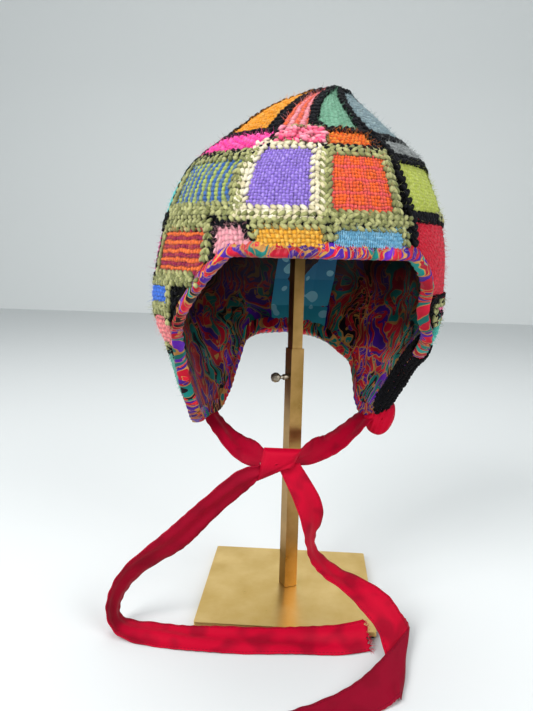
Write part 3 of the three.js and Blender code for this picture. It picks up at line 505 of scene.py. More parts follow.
def border(grid):
    """The values along the four sides of a grid, in order."""
    return np.concatenate([grid[0], grid[:, -1], grid[-1][::-1], grid[::-1, 0]])


# %% Build the squares
# Relief of one stitch, swell of a square, depth of its skirt and drift of its stitches
STITCH_HEIGHT = {"bobble": 2.2, "felt": 0.5}
OTHER_HEIGHT, SWELL, SKIRT_DEPTH, DRIFT = 1.45, 0.9, 2.6, 0.28
# Grid points to a stitch and loose ends, for the squares in view and for the others
FRONT_TURN = 75
IN_VIEW, BEHIND = (5.6, 640), (4, 180)
fluff = []
yarns = {}
for seed, (name, (kind, stitch, first, second, _)) in enumerate(SQUARES.items()):
    side_turn, side_height = square_at(
        name, np.array([0.0, 1, 0.5, 0.5]), np.array([0.5, 0.5, 0, 1]))
    sides = skin(side_turn, side_height)
    wide = np.linalg.norm(sides[1] - sides[0]) * 1.05
    tall = np.linalg.norm(sides[3] - sides[2]) * 1.02
    fine, ends = IN_VIEW if abs(wrap(side_turn[2])) < FRONT_TURN else BEHIND
    cols = int(np.clip(wide / stitch * fine, 12, 120))
    rows = int(np.clip(tall / stitch * fine, 12, 110))
    across, down = np.meshgrid(np.linspace(0, 1, cols), np.linspace(0, 1, rows))
    turn, height = square_at(name, across, down, INSET.get(name, 0) - 0.4)
    u, v = across * wide / stitch, down * tall / stitch
    wobble = DRIFT * soft_noise(u * 0.6, v * 0.6, seed)
    relief_and_shade, other = weave(kind, u + wobble, v + DRIFT * soft_noise(v * 0.6, u * 0.6, seed + 99))
    puff = SWELL * np.sin(np.pi * across) ** 0.5 * np.sin(np.pi * down) ** 0.5
    out = puff + STITCH_HEIGHT.get(kind, OTHER_HEIGHT) * relief_and_shade
    out = out + 0.5 * soft_noise(u * 1.7, v * 1.7, seed + 7)
    points = under_skin(turn, height, 0.3 - out)
    rim = under_skin(border(turn), border(height), SKIRT_DEPTH)
    count = rows * cols
    loop = border(np.arange(count).reshape(rows, cols))
    under = count + np.arange(len(rim))
    after = np.roll(np.arange(len(rim)), -1)
    skirt = np.stack([loop, loop[after], under[after], under], axis=-1)
    faces = np.concatenate([grid_faces(rows, cols)[:, ::-1], skirt])
    # Painted shade: low relief darkens the valleys, and the skirt under the skin is painted darkest
    shade = np.concatenate([relief_and_shade.ravel(), np.zeros(len(rim))])
    stitch_tone = np.modf(np.abs(np.sin(np.floor(u + wobble) * 12.9 + np.floor(v) * 78.2)) * 437)[0]
    other = np.clip(other + 0.45 * (stitch_tone - 0.5), 0, 1)
    tint = np.concatenate([other.ravel(), np.zeros(len(rim))])
    yarn = yarns[name] = yarn_material("yarn_" + name, first, second)
    pick = rng.integers(0, count, ends)
    points = points.reshape(-1, 3)
    outwards = skin_normal(turn, height).reshape(-1, 3)
    fluff.append((points[pick], outwards[pick], yarn, name))
    mesh_piece("square_" + name, np.concatenate([points, rim]), faces, yarn,
               values={"relief_and_shade": shade, "second": tint},
               replaces=["patch_" + name], slot=name + "_yarn")
print("squares:", len(SQUARES))

# %% [markdown]
# ## Crochet
# The squares are joined by crochet in black, olive and cream wool. A chain runs round each square,
# and every stitch of it shows two plump lobes in a V. Curves with a round bevel could be drawn
# for it, but thousands of them are slow to edit. So one lobe of few points is copied along lines
# on the skin, and each copy differs a little in length, slant and tint, as work by hand does.

# %% Lobes
def lobe_template(around, along):
    """Points and faces of an egg along X, with sides round it and rings along it."""
    turns = np.linspace(0, 2 * np.pi, around, endpoint=False)
    rings = np.linspace(-1, 1, along + 2)[1:-1]
    points = [[-1.0, 0, 0]]
    for x in rings:
        r = (1 - abs(x) ** 2.2) ** 0.5
        points += [[x, r * np.cos(t), r * np.sin(t)] for t in turns]
    points.append([1.0, 0, 0])
    last = len(points) - 1
    faces = []
    for j in range(around):
        k = (j + 1) % around
        faces.append([0, 1 + k, 1 + j])
        faces.append([last, last - around + j, last - around + k])
        for i in range(along - 1):
            a, b = 1 + i * around, 1 + (i + 1) * around
            faces += [[a + j, a + k, b + k], [a + j, b + k, b + j]]
    return np.array(points), np.array(faces)


def lobes(name, centre, axis, normal, length, width, height, material, template, **links):
    """One mesh with a lobe at each centre, laid along its axis and with its top to the normal."""
    shape, faces = template
    axis, normal = unit(axis), unit(normal)
    side = unit(np.cross(normal, axis))
    up = np.cross(axis, side)
    size = np.stack([np.broadcast_to(length, len(centre)), np.broadcast_to(width, len(centre)),
                     np.broadcast_to(height, len(centre))], axis=-1) / 2
    local = shape[None] * size[:, None]
    points = (centre[:, None] + local[..., :1] * axis[:, None] + local[..., 1:2] * side[:, None]
              + local[..., 2:] * up[:, None])
    offset = (np.arange(len(centre)) * len(shape))[:, None, None]
    all_faces = (faces[None] + offset).reshape(-1, 3)
    # Painted shade: each lobe is darker on its underside and towards its two ends
    relief_and_shade = np.clip(0.35 + 0.75 * shape[:, 2], 0, 1) * (0.55 + 0.45 * (1 - np.abs(shape[:, 0])))
    tint = np.repeat(rng.uniform(0, 1, len(centre)), len(shape))
    return mesh_piece(name, points.reshape(-1, 3), all_faces, material,
                      values={"relief_and_shade": np.tile(relief_and_shade, len(centre)), "second": tint}, **links)


LOBE = lobe_template(6, 4)
KNOB = lobe_template(5, 2)
wools = {
    "black": yarn_material("wool_black", "060709", "14151b", 0.02),
    "olive": yarn_material("wool_olive", "6c7040", "b7b67c"),
    "cream": yarn_material("wool_cream", "cfc39a", "ece4cb"),
}


# %% Stitches along a line
def walk(turn, height, pitch):
    """Places at an even pitch along a closed line on the skin: turn, height and direction."""
    points = skin(turn, height)
    steps = np.linalg.norm(np.diff(points, axis=0, append=points[:1]), axis=1)
    length = np.concatenate([[0], np.cumsum(steps)])
    count = max(4, int(length[-1] / pitch))
    marks = (np.arange(count) + 0.5) / count * length[-1]
    turns = np.interp(marks, length, np.append(turn, turn[0]))
    heights = np.interp(marks, length, np.append(height, height[0]))
    ahead = np.interp(np.minimum(marks + 1, length[-1]), length, np.append(turn, turn[0]))
    rise = np.interp(np.minimum(marks + 1, length[-1]), length, np.append(height, height[0]))
    return turns, heights, unit(skin(ahead, rise) - skin(turns, heights))


def chain(turns, heights, along, lift, size, spread):
    """Two lobes for each stitch, slanted to the left and right of its line."""
    normal = skin_normal(turns, heights)
    side = unit(np.cross(normal, along))
    middle = skin(turns, heights) + normal * lift
    found = []
    for sign in (-1, 1):
        slant = np.radians(rng.normal(33, 8, len(turns)))[:, None]
        centre = middle + side * sign * spread + normal * rng.normal(0, 0.25, len(turns))[:, None]
        centre += along * rng.normal(0, 0.3, len(turns))[:, None]
        axis = along * np.cos(slant) + side * sign * np.sin(slant)
        found.append((centre, axis + normal * 0.12, normal, size * rng.uniform(0.88, 1.14, len(turns))))
    return [np.concatenate(parts) for parts in zip(*found)]


# %% Chain stitches round each square
# Stitches along a chain and along a straight row, the size of a lobe, and bare cloth at the hem
CHAIN_PITCH, ROW_PITCH = 4.4, 4.3
LOBE_WIDTH, LOBE_HEIGHT = 3.3, 3.0
HEM_BARE = 8.5
# Spread and length of the lobes and the margin of the chain, at the small wedges and elsewhere
AT_WEDGES, AT_SQUARES = (0.9, 4.8, -2.2), (1.35, 6.2, -0.9)
SIDE = 24
edge = np.linspace(0, 1, SIDE, endpoint=False)
ring_across = np.concatenate([edge, np.ones(SIDE), 1 - edge, np.zeros(SIDE)])
ring_down = np.concatenate([np.zeros(SIDE), edge, np.ones(SIDE), 1 - edge])
found = {"black": [], "olive": [], "cream": []}
for name, (*_, frame_wool) in SQUARES.items():
    spread, size, margin = AT_WEDGES if name.endswith(("wedge", "gusset")) else AT_SQUARES
    margins = [margin]
    if INSET.get(name, 0) > 1.3:
        margins.append(INSET[name] - 0.5)
    for margin in margins:
        turn, height = square_at(name, ring_across, ring_down, margin)
        turns, heights, along = walk(turn, height, CHAIN_PITCH)
        kept = heights > hem_height(turns) + HEM_BARE
        found[frame_wool].append(chain(turns[kept], heights[kept], along[kept], 1.0, size, spread))
print("chains:", {wool: len(parts) for wool, parts in found.items()})

# %% Straight rows of olive stitches under the middle squares and on the left flap
for up, start, end in (
    (0.195, -38, 38), (0.205, -72, -42), (0.235, 58, 76), (-0.14, -72, -42), (-0.3, -80, -58),
):
    turn = np.concatenate([np.linspace(start, end, 60), np.linspace(end, start, 60)])
    turns, heights, along = walk(turn, height_of(up + 0 * turn), ROW_PITCH)
    half = len(turns) // 2
    found["olive"].append(chain(turns[:half], heights[:half], along[:half], 1.3, 5.6, 1.5))
print("olive chains and rows:", len(found["olive"]))

# %% Meshes of the stitches
for wool, parts in found.items():
    centre, axis, normal, length = [np.concatenate(p) for p in zip(*parts)]
    lobes("crochet_" + wool, centre, axis, normal, length, LOBE_WIDTH, LOBE_HEIGHT, wools[wool],
          LOBE, slot="black_wool")
    print("stitches", wool, len(centre) // 2)

# %% Bobbles that stand off the pink square and hang over the top of the violet one
BOBBLES, BOBBLE_WIDTH = 90, 3.0
turns, heights = rng.uniform(-23, 1, BOBBLES), height_of(rng.uniform(0.58, 0.662, BOBBLES))
normal = skin_normal(turns, heights)
centre = skin(turns, heights) + normal * rng.uniform(1.5, 3.4, (BOBBLES, 1))
axis = np.cross(normal, unit(rng.normal(size=(BOBBLES, 3))))
length = rng.uniform(4, 7, BOBBLES)
lobes("pink_bobbles", centre, axis, normal, length, BOBBLE_WIDTH, BOBBLE_WIDTH,
      yarns["pink_bobble"], LOBE, slot="pink_bobble_yarn")
print("bobbles:", BOBBLES)

# %% [markdown]
# ## Ground of black knots
# Between the chains the black wool lies in small tight knots. Modelling each row of them would
# show no more than their unevenness does. So the crochet's solid stays as a dark ground, and
# knots are scattered over its outer faces, more on a larger triangle than on a small one.

# %% Outer faces of the crochet
ground = nodes["crochet_frame"]
ground.data.materials.clear()
ground.data.materials.append(wools["black"])
mesh = ground.data
corners = np.empty(len(mesh.vertices) * 3, np.float32)
mesh.vertices.foreach_get("co", corners)
corners = corners.reshape(-1, 3) * 1000
mesh.calc_loop_triangles()
triangles = np.array([t.vertices[:] for t in mesh.loop_triangles])
a, b, c = (corners[triangles[:, i]] for i in range(3))
cross = np.cross(b - a, c - a)
middle = (a + b + c) / 3
# Faces that look away from the middle of the hat, or upwards near the crown
CROWN_FROM = 300
outwards = middle * [1, 1, 0] - [5, 0, 0]
facing = (unit(cross) * unit(outwards + [0, 0, 1e-3])).sum(axis=1) > 0.25
facing |= (unit(cross)[:, 2] > 0.3) & (middle[:, 2] > CROWN_FROM)
weight = np.where(facing, np.linalg.norm(cross, axis=1), 0)
print("outer faces of the crochet:", int(facing.sum()), "of", len(triangles))

# %% Knots
# Bare cloth above the hem: at the flaps, and more of it in front
FLAP_BARE, MORE_IN_FRONT, FACE_TURN = 5.5, 5, 68


def scatter(count):
    """Places on the outer faces, with their normals, clear of the hem and the larger squares."""
    pick = rng.choice(len(triangles), count, p=weight / weight.sum())
    s, t = rng.uniform(0, 1, (2, count, 1))
    flip = (s + t) > 1
    s, t = np.where(flip, 1 - s, s), np.where(flip, 1 - t, t)
    places = a[pick] + s * (b[pick] - a[pick]) + t * (c[pick] - a[pick])
    x = places[:, 0] - HALF_WIDTH * lean_at(up_of(places[:, 2]))
    turn = wrap(np.degrees(np.arctan2(x, -places[:, 1] / DEPTH_TO_WIDTH)) - HAT_TURN)
    free = FLAP_BARE + MORE_IN_FRONT * np.clip((FACE_TURN - np.abs(turn)) / 6, 0, 1)
    kept = places[:, 2] > hem_height(turn) + free
    for name in LARGER:
        turns, _ = square_at(name, np.array([0.0, 1]), np.array([0.5, 0.5]), 0.5)
        _, heights = square_at(name, np.array([0.5, 0.5]), np.array([0.0, 1]), 0.5)
        beside = (wrap(turn - turns[0]) < 0) | (wrap(turn - turns[1]) > 0)
        kept &= beside | (places[:, 2] > heights[0]) | (places[:, 2] < heights[1])
    return places[kept], unit(cross[pick])[kept]


centre, normal = scatter(4600)
print("knots:", len(centre))
slant = unit(np.cross(normal, rng.normal(size=normal.shape)))
lobes("wool_knots", centre + normal * rng.uniform(-0.2, 0.9, (len(centre), 1)), slant, normal,
      rng.uniform(3.4, 6, len(centre)), rng.uniform(2, 3, len(centre)), 2.6, wools["black"], KNOB,
      slot="black_wool")


# %% [markdown]
# ## Fuzz
# Wool has loose ends that stand off it and soften its outline. Blender's own hair would do, but
# it isn't part of an exported mesh. A thin strip that bends and narrows looks the same at this
# size, and thousands of them stay light. They spring from the stitches, squares and knots.

# %% Strands
# Nothing goes lower than this above the floor
FLOOR_GAP = 0.15


def strands(name, base, normal, length, width, material, slot):
    """Strips of three faces each, from their bases out along the normals and a little down."""
    count = len(base)
    lean = unit(normal + 0.9 * rng.normal(size=normal.shape))
    bend = unit(rng.normal(size=normal.shape) + [0, 0, -0.3])
    across = unit(np.cross(lean, bend)) * width / 2
    share = np.linspace(0, 1, 4)[None, :, None]
    run = lean[:, None] * share + 0.45 * bend[:, None] * share ** 2
    path = base[:, None] + length[:, None, None] * run
    taper = across[:, None] * (1 - 0.8 * share)
    points = np.stack([path - taper, path + taper], axis=2).reshape(-1, 3)
    points[:, 2] = np.maximum(points[:, 2], FLOOR_GAP)
    first = (np.arange(count) * 8)[:, None] + np.arange(0, 6, 2)[None]
    faces = np.stack([first, first + 1, first + 3, first + 2], axis=-1).reshape(-1, 4)
    tint = np.repeat(rng.uniform(0, 1, count), 8)
    return mesh_piece(name, points, faces, material,
                      values={"relief_and_shade": 0.8 + 0 * tint, "second": tint}, slot=slot)


HAIR_WIDTH, FLUFF_WIDTH = 0.24, 0.21
for wool in ("olive", "cream"):
    centre, _, normal, _ = [np.concatenate(p) for p in zip(*found[wool])]
    strands("hairs_" + wool, centre + normal, normal, rng.uniform(2, 4.5, len(centre)), HAIR_WIDTH,
            wools[wool], "black_wool")
for base, normal, yarn, name in fluff:
    strands("fluff_" + name, base, normal, rng.uniform(1.5, 4, len(base)), FLUFF_WIDTH, yarn,
            name + "_yarn")
for wool, count, shortest, longest, width in (
    ("black", 9000, 1.5, 5, 0.2), ("olive", 1500, 2, 6, 0.26),
):
    centre, normal = scatter(count)
    strands("fuzz_" + wool, centre, normal, rng.uniform(shortest, longest, len(centre)), width,
            wools[wool], "black_wool")
    print("fuzz", wool, len(centre))


# %% [markdown]
# ## Printed satin
# The lining is woven satin with a printed paisley. Its threads float on top of the cloth, so it
# has a soft broad shine, partly painted into its colour, and inside the hat it lies in shade, which
# is painted too. A picture of a print would show its pixels from close by. Here nodes draw the print
# and it stays sharp: drops outlined in gold with bands inside them, small flowers between, on
# crimson, violet, teal and black grounds.

# %% Parts of the print
# Cells to a millimetre of cloth: drops 19 mm apart, flowers 5 mm and threads 0.6 mm, drawn coarser
# than real ones so that they show. A slanted wave of scale 0.09 has a crest every 5 mm.
DROPS, FLOWERS, THREADS, VEINS = 0.052, 0.2, 1.6, 0.09
# Where the ground of a drop gives way to its inner band, and how wide a flower is in its cell
BAND_EDGE, PETAL = 0.55, 0.3
# Dyes of the grounds, of the bands in the drops, and of the flowers: each from a share of cells
GROUNDS = [(0, "a80a26"), (0.24, "3f1584"), (0.48, "067a72"), (0.62, "0c0612"), (0.74, "c00c2e"),
           (0.88, "5a1aa6")]
INNER_BANDS = [(0, "3d157a"), (0.24, "b00c2c"), (0.46, "0d0614"), (0.58, "8c0a22"),
               (0.78, "086c64"), (0.9, "c01030")]
BLOOMS = [(0, "087068"), (0.3, "b0803c"), (0.42, "42167c"), (0.7, "c8142e")]


def close_to(tree, value, target, width):
    gap = add(tree, "Math", UNSIGNED, add(tree, "Math", MINUS, value, target)[0])[0]
    return add(tree, "Math", BELOW, gap, width)[0]


def drifted(tree, place):
    """The cloth's plane, shifted up to 26 mm by cells of 36 mm, so that no two drops are alike."""
    drift = add(tree, "TexNoise", None, Vector=place, Scale=0.028, Detail=2.0)["Color"]
    drift = add(tree, "VectorMath", MINUS, drift, (0.5, 0.5, 0.5))[0]
    drift = add(tree, "VectorMath", {"operation": "SCALE"}, _0=drift, Scale=52.0)[0]
    return add(tree, "VectorMath", PLUS, place, drift)[0]


def drops(tree, bent):
    """Colour of the slanted drops with their bands, their gold lines, and each drop's number."""
    flat = {"voronoi_dimensions": "2D"}
    squeezed = add(tree, "Mapping", None, Vector=bent, Rotation=(0, 0, 0.6),
                   Scale=(1.15, 0.42, 1.0))[0]
    cell = add(tree, "TexVoronoi", flat, Vector=squeezed, Scale=DROPS)
    edges = {**flat, "feature": "DISTANCE_TO_EDGE"}
    rim = add(tree, "TexVoronoi", edges, Vector=squeezed, Scale=DROPS)[0]
    number = add(tree, "SeparateColor", None, Color=cell["Color"])[0]
    ground = add(tree, "ValToRGB", {"stops": ("CONSTANT", GROUNDS)}, number)[0]
    inner = add(tree, "ValToRGB", {"stops": ("CONSTANT", INNER_BANDS)}, number)[0]
    bands = add(tree, "Math", DECIMALS, add(tree, "Math", TIMES, cell["Distance"], 3.1)[0])[0]
    inside = add(tree, "Math", ABOVE, bands, BAND_EDGE)[0]
    colour = add(tree, "Mix", BLEND, inside, _6=ground, _7=inner)[2]
    outline = add(tree, "Math", BELOW, rim, 0.02)[0]
    line = add(tree, "Math", HIGHER, close_to(tree, bands, BAND_EDGE, 0.035), outline)[0]
    return colour, line, number


def flowers(tree, bent):
    """Colour of the flowers, where they show, and their gold lines."""
    cell = add(tree, "TexVoronoi", {"voronoi_dimensions": "2D"}, Vector=bent, Scale=FLOWERS)
    number = add(tree, "SeparateColor", None, Color=cell["Color"])[1]
    bloom = add(tree, "ValToRGB", {"stops": ("CONSTANT", BLOOMS)}, number)[0]
    petal = add(tree, "Math", BELOW, cell["Distance"], PETAL)[0]
    shown = add(tree, "Math", TIMES, petal, add(tree, "Math", ABOVE, number, 0.35)[0])[0]
    line = close_to(tree, cell["Distance"], PETAL, 0.03)
    return bloom, shown, add(tree, "Math", TIMES, line, shown)[0]


def veins(tree, bent, number):
    """Thin gold feathers on about half of the drops."""
    wave = add(tree, "TexWave", {"bands_direction": "DIAGONAL"}, Vector=bent, Scale=VEINS,
               Distortion=5.0, Detail=1.0)
    vein = add(tree, "Math", ABOVE, wave["Fac"], 0.978)[0]
    feathered = add(tree, "Math", DECIMALS, add(tree, "Math", TIMES, number, 7.0)[0])[0]
    return add(tree, "Math", TIMES, vein, add(tree, "Math", ABOVE, feathered, 0.45)[0])[0]


# %% Satin
satin, tree, shader = new_material("printed_satin", 0.42)
place = add(tree, "UVMap", {"uv_map": "mm"})[0]
bent = drifted(tree, place)
colour, line, number = drops(tree, bent)
bloom, shown, petal_line = flowers(tree, bent)
colour = add(tree, "Mix", BLEND, shown, _6=colour, _7=bloom)[2]
line = add(tree, "Math", HIGHER, line, petal_line)[0]
line = add(tree, "Math", HIGHER, line, veins(tree, bent, number))[0]
colour = add(tree, "Mix", BLEND, line, _6=colour, _7=linear("b07e42"))[2]
# Painted sheen: brighter patches of 17 mm where threads would catch the light, then the painted shade
# that comes with the mesh
painted_sheen = add(tree, "TexNoise", None, Vector=place, Scale=0.06, Detail=1.0)[0]
painted_sheen = add(tree, "MapRange", None, Value=painted_sheen, _1=0.35, _2=0.65, _3=0.75, _4=1.45)[0]
shade = add(tree, "Attribute", {"attribute_name": "shade"})["Color"]
for light in (painted_sheen, shade):
    colour = add(tree, "Mix", SHADE, 1.0, _6=colour, _7=light)[2]
tree.links.new(colour, shader.inputs["Base Color"])
thread = add(tree, "TexNoise", None, Vector=place, Scale=THREADS, Detail=2.0)[0]
bump = add(tree, "Bump", None, Strength=0.25, Distance=0.0008, Height=thread)
tree.links.new(bump[0], shader.inputs["Normal"])
shader.inputs["Specular IOR Level"].default_value = 0.22
print("nodes of the satin:", len(tree.nodes))

# %% [markdown]
# ## Lining and binding
# The lining is sewn in along the hem, where it is gathered, and hangs a little slack above it. The
# same satin turns outwards over the hem as a narrow binding. A cloth simulation would find the
# folds by itself but not keep beside the solids. So both are grids at a set depth under the skin,
# and sums of sines make the gathers and the slack.

# %% Lining
# The lining's depth under the skin, the reach of its gathers above the hem and the size of both
LINING_DEPTH, GATHERED = 4.7, 16
GATHERS, SLACK = 1.1, 1.5
MM_PER_DEGREE = 1.75
turns = np.linspace(-180, 180, 401)[:-1]
share = np.linspace(0, 1, 48)[:, None] ** 0.85
foot = hem_height(turns)[None] + 1.0
height = foot + share * (APEX - 2 - foot)
turn = np.broadcast_to(turns, height.shape)
angle = np.radians(turn)
gather = GATHERS * np.exp(-(height - foot) / GATHERED)
pucker = gather * np.sin(angle * 46 + 2 * np.sin(angle * 7))
slack = SLACK * np.sin(angle * 9 + height * 0.05) * np.sin(height * 0.06 + angle * 3)
slack *= np.clip((height - foot) / 25, 0, 1) * np.clip((340 - height) / 40, 0, 1)
points = under_skin(turn, height, LINING_DEPTH + np.abs(pucker) * 0.7 + np.abs(slack))
uv = np.stack([turn * MM_PER_DEGREE, height], axis=-1).reshape(-1, 2)
# Painted shade: light comes in from below and from the right, so the crown and the left are painted
# darker
shade = 0.06 + 1.1 * np.clip((RIM - height) / 80, 0, 1) ** 1.3
shade = shade * (0.75 + 0.25 * np.sin(angle))
mesh_piece("lining_satin", points.reshape(-1, 3), grid_faces(*height.shape, closed=True), satin,
           uv=uv, values={"shade": shade.ravel()}, replaces=["lining"], slot="printed_satin")

# %% Binding
# Height of the binding outside the hem, how much higher it is in front, and its width as cloth
BINDING, HIGHER_IN_FRONT, BINDING_CLOTH = 3.4, 4.6, 24
hem_turns = np.linspace(-180, 180, 1301)[:-1]
angle = np.radians(hem_turns)
hem_line = hem_height(hem_turns)
front = np.clip((62 - np.abs(wrap(hem_turns))) / 8, 0, 1)
reach = BINDING + HIGHER_IN_FRONT * front + 0.5 * np.sin(angle * 31)
around = np.linspace(0, 1, 22)[:, None]
swell = 1 + 0.12 * np.sin(angle * 97 + 3 * np.sin(angle * 13))
# Round its section: down the outside, under the hem and up the inside
inside = np.clip((around - 0.6) / 0.4, 0, 1)
outside = np.clip((0.4 - around) / 0.4, 0, 1)
bottom = 1 - np.clip(np.abs(around - 0.5) / 0.1, 0, 1)
depth = -1.6 * swell - 0.2 + (6.8 + 1.6 * swell) * np.clip((around - 0.4) / 0.2, 0, 1)
depth += 1.5 * outside ** 3 - 0.6 * inside
rise = outside * reach + inside * 9 - 1.1 * bottom - 0.35 * (swell - 1) * 3
ridge = 0.45 * np.sin(angle * 150 + around * 9) * np.sin(np.pi * around)
points = under_skin(hem_turns[None] + 0 * rise, hem_line[None] + rise, depth - ridge)
hem_length = np.cumsum(np.linalg.norm(np.gradient(skin(hem_turns, hem_line), axis=0), axis=1))
uv = np.stack([hem_length[None] + 0 * rise, BINDING_CLOTH * around + 0 * rise], axis=-1)
mesh_piece("binding_satin", points.reshape(-1, 3), grid_faces(*rise.shape, closed=True), satin,
           uv=uv.reshape(-1, 2), values={"shade": 1.0 + 0 * rise.ravel()}, slot="printed_satin")
print("hem in millimetres:", round(float(hem_length[-1])))

# %% [markdown]
# ## Black roll on the right flap
# The front edge of the right flap is rolled outwards, so that a thick roll of black crochet shows
# on it. Its section is a list of heights and depths from the hem, and lobes follow the hem at
# each of them. That is less work than bending the flap, and the lining stays as it is.

# %% Roll
ROLL_PITCH = 3.0
ROLL_WIDTH, ROLL_HEIGHT = 3.8, 3.2
roll = np.linspace(80, 106, 60)
rolled = np.concatenate([roll, roll[::-1]])
turns_r, heights_r, along = walk(rolled, hem_height(rolled) + 1.5, ROLL_PITCH)
half = len(turns_r) // 2
parts = []
for rise, depth in (
    (9, -3), (5.5, -3.6), (2, -3.4), (-1.2, -1.6), (-2.2, 1), (-2.2, 3.8), (-0.5, 6.4), (3, 7.8),
    (6.5, 8), (10, 7.6), (13, 6.6),
):
    where = skin(turns_r[:half], heights_r[:half] + rise)
    normal = skin_normal(turns_r[:half], heights_r[:half] + rise)
    parts.append((where - normal * depth, along[:half] + 0.35 * rng.normal(size=where.shape), -normal))
centre, axis, normal = [np.concatenate(p) for p in zip(*parts)]
lobes("rolled_edge", centre, axis, normal, rng.uniform(4.8, 6.2, len(centre)), ROLL_WIDTH,
      ROLL_HEIGHT, wools["black"], LOBE, slot="black_wool")
print("lobes of the roll:", len(centre))

# %% [markdown]
# ## Label
# A small woven label is sewn inside the back. Its threads are blue and darken towards the top,
# with pale spots, and the weave leaves it half matt. It is flat and far inside, so it keeps its
# solid and only its colours are made.

# %% Label
# The height in metres from which it darkens and up to which, and 95 cells to a metre for its spots
FADE_FROM, FADE_TO, SPOTS = 0.195, 0.262, 95.0
material, tree, shader = new_material("woven_label", 0.55)
place = add(tree, "TexCoord")["Object"]
axes = add(tree, "SeparateXYZ", None, Vector=place)
fade = add(tree, "MapRange", None, Value=axes[2], _1=FADE_FROM, _2=FADE_TO)[0]
blues = [(0, "2fa3b4"), (0.5, "1580a8"), (1, "0d5f94")]
blue = add(tree, "ValToRGB", {"stops": ("LINEAR", blues)}, fade)[0]
spots = add(tree, "TexVoronoi", {"feature": "SMOOTH_F1"}, Vector=place, Scale=SPOTS)
spot = add(tree, "Math", BELOW, spots["Distance"], 0.3)[0]
threads = add(tree, "Mix", BLEND, spot, _6=blue, _7=linear("7fc3d6"))[2]
tree.links.new(threads, shader.inputs["Base Color"])
label = nodes["label"]
label.data.materials.clear()
label.data.materials.append(material)
print("label:", [round(side * 1000) for side in label.dimensions])

# %% [markdown]
# ## Ribbon
# The ties are woven ribbon, 22 mm wide, with a row of stitches along both edges. Light and shade
# are painted into its red, bright where light falls on a face and darker where a face is in shade,
# and the dense weave makes it soft and nearly matt. The cloth is drawn by nodes along the ribbon's
# own millimetres, so its stitches bend with it.

# %% Ribbon cloth
# Distance of the stitches from the edge, stitches to a millimetre of ribbon, and the weft: a wave
# of scale 1.1 has a crest every 0.3 mm
STITCHES_FROM, STITCHES_TO, STITCHES, WEFT = 1.25, 1.8, 0.42, 1.1
red, tree, shader = new_material("woven_ribbon", 0.62)
place = add(tree, "UVMap", {"uv_map": "mm"})[0]
# Painted light and shade: each face mixes a shaded dark red and a lit bright red by its outer value
facing = add(tree, "Attribute", {"attribute_name": "outer"})["Fac"]
threads = add(tree, "TexWave", {"bands_direction": "Y"}, Vector=place, Scale=WEFT, Distortion=1.5)
tone = add(tree, "Mix", BLEND, facing, _6=linear("8a0424"), _7=linear("bd0029"))[2]
# Painted shade between the weft threads
valleys = add(tree, "Math", TIMES, threads["Fac"], 0.1)[0]
tone = add(tree, "Mix", BLEND, valleys, _6=tone, _7=linear("7c0420"))[2]
axes = add(tree, "SeparateXYZ", None, Vector=place)
from_middle = add(tree, "Math", UNSIGNED, add(tree, "Math", MINUS, axes[0], RIBBON / 2)[0])[0]
beyond = add(tree, "Math", ABOVE, from_middle, RIBBON / 2 - STITCHES_TO)[0]
before = add(tree, "Math", BELOW, from_middle, RIBBON / 2 - STITCHES_FROM)[0]
row = add(tree, "Math", TIMES, beyond, before)[0]
gaps = add(tree, "Math", DECIMALS, add(tree, "Math", TIMES, axes[1], STITCHES)[0])[0]
stitched = add(tree, "Math", TIMES, row, add(tree, "Math", BELOW, gaps, 0.62)[0])[0]
sewn = add(tree, "Math", TIMES, stitched, 0.6)[0]
tone = add(tree, "Mix", BLEND, sewn, _6=tone, _7=linear("5c0018"))[2]
# Painted shade of folds: noise in patches about 18 mm across darkens the red
folds = add(tree, "TexNoise", None, Vector=place, Scale=0.055, Detail=1.0)[0]
painted_fold_shade = add(tree, "MapRange", None, Value=folds, _1=0.48, _2=0.64, _3=0.0, _4=0.6)[0]
tone = add(tree, "Mix", BLEND, painted_fold_shade, _6=tone, _7=linear("7a041e"))[2]
tree.links.new(tone, shader.inputs["Base Color"])
bump = add(tree, "Bump", None, Strength=0.12, Distance=0.0003, Height=threads["Fac"])
tree.links.new(bump[0], shader.inputs["Normal"])
shader.inputs["Specular IOR Level"].default_value = 0.1
print("nodes of the ribbon:", len(tree.nodes))

# %% [markdown]
# ## Strips of ribbon
# A ribbon hangs from the knot, folds over itself and lies on the floor. A curve with a flat bevel
# would do for a straight run, but here the two edges twist apart. So each strip lies between two
# edge curves and has a front, a back and thin sides.

# %% Strips
# Points along and across a strip, and half its thickness
ALONG, ACROSS = 160, 13
HALF_THICK = 0.22
# Where a tail's painted light changes from its first value to its last, as a share of its length, and
# over how much of it
LIGHT_CHANGES_AT, LIGHT_CHANGES_OVER = 0.44, 0.12


def catmull(points, count):
    """A smooth curve through all the points."""
    points = np.asarray(points, float)
    padded = np.vstack([2 * points[0] - points[1], points, 2 * points[-1] - points[-2]])
    where = np.linspace(0, len(points) - 1, count)
    i = np.minimum(where.astype(int), len(points) - 2)
    t = (where - i)[:, None]
    p0, p1, p2, p3 = (padded[i + k] for k in range(4))
    return 0.5 * (2 * p1 + (p2 - p0) * t + (2 * p0 - 5 * p1 + 4 * p2 - p3) * t ** 2
                  + (3 * p1 - p0 - 3 * p2 + p3) * t ** 3)


def creases(share, length, crease):
    """Folds along the ribbon, a slow wave, and the pucker of its stitched edges."""
    fold = np.sin(share * 9 + length * 0.035) * np.sin(np.pi * share) * crease
    fold = fold + 0.35 * np.sin(length * 0.11 + share * 5)
    pucker = np.sin(length * 0.6 + 3 * np.sin(length * 0.09))
    return fold + 0.3 * pucker * np.abs(2 * share - 1) ** 3


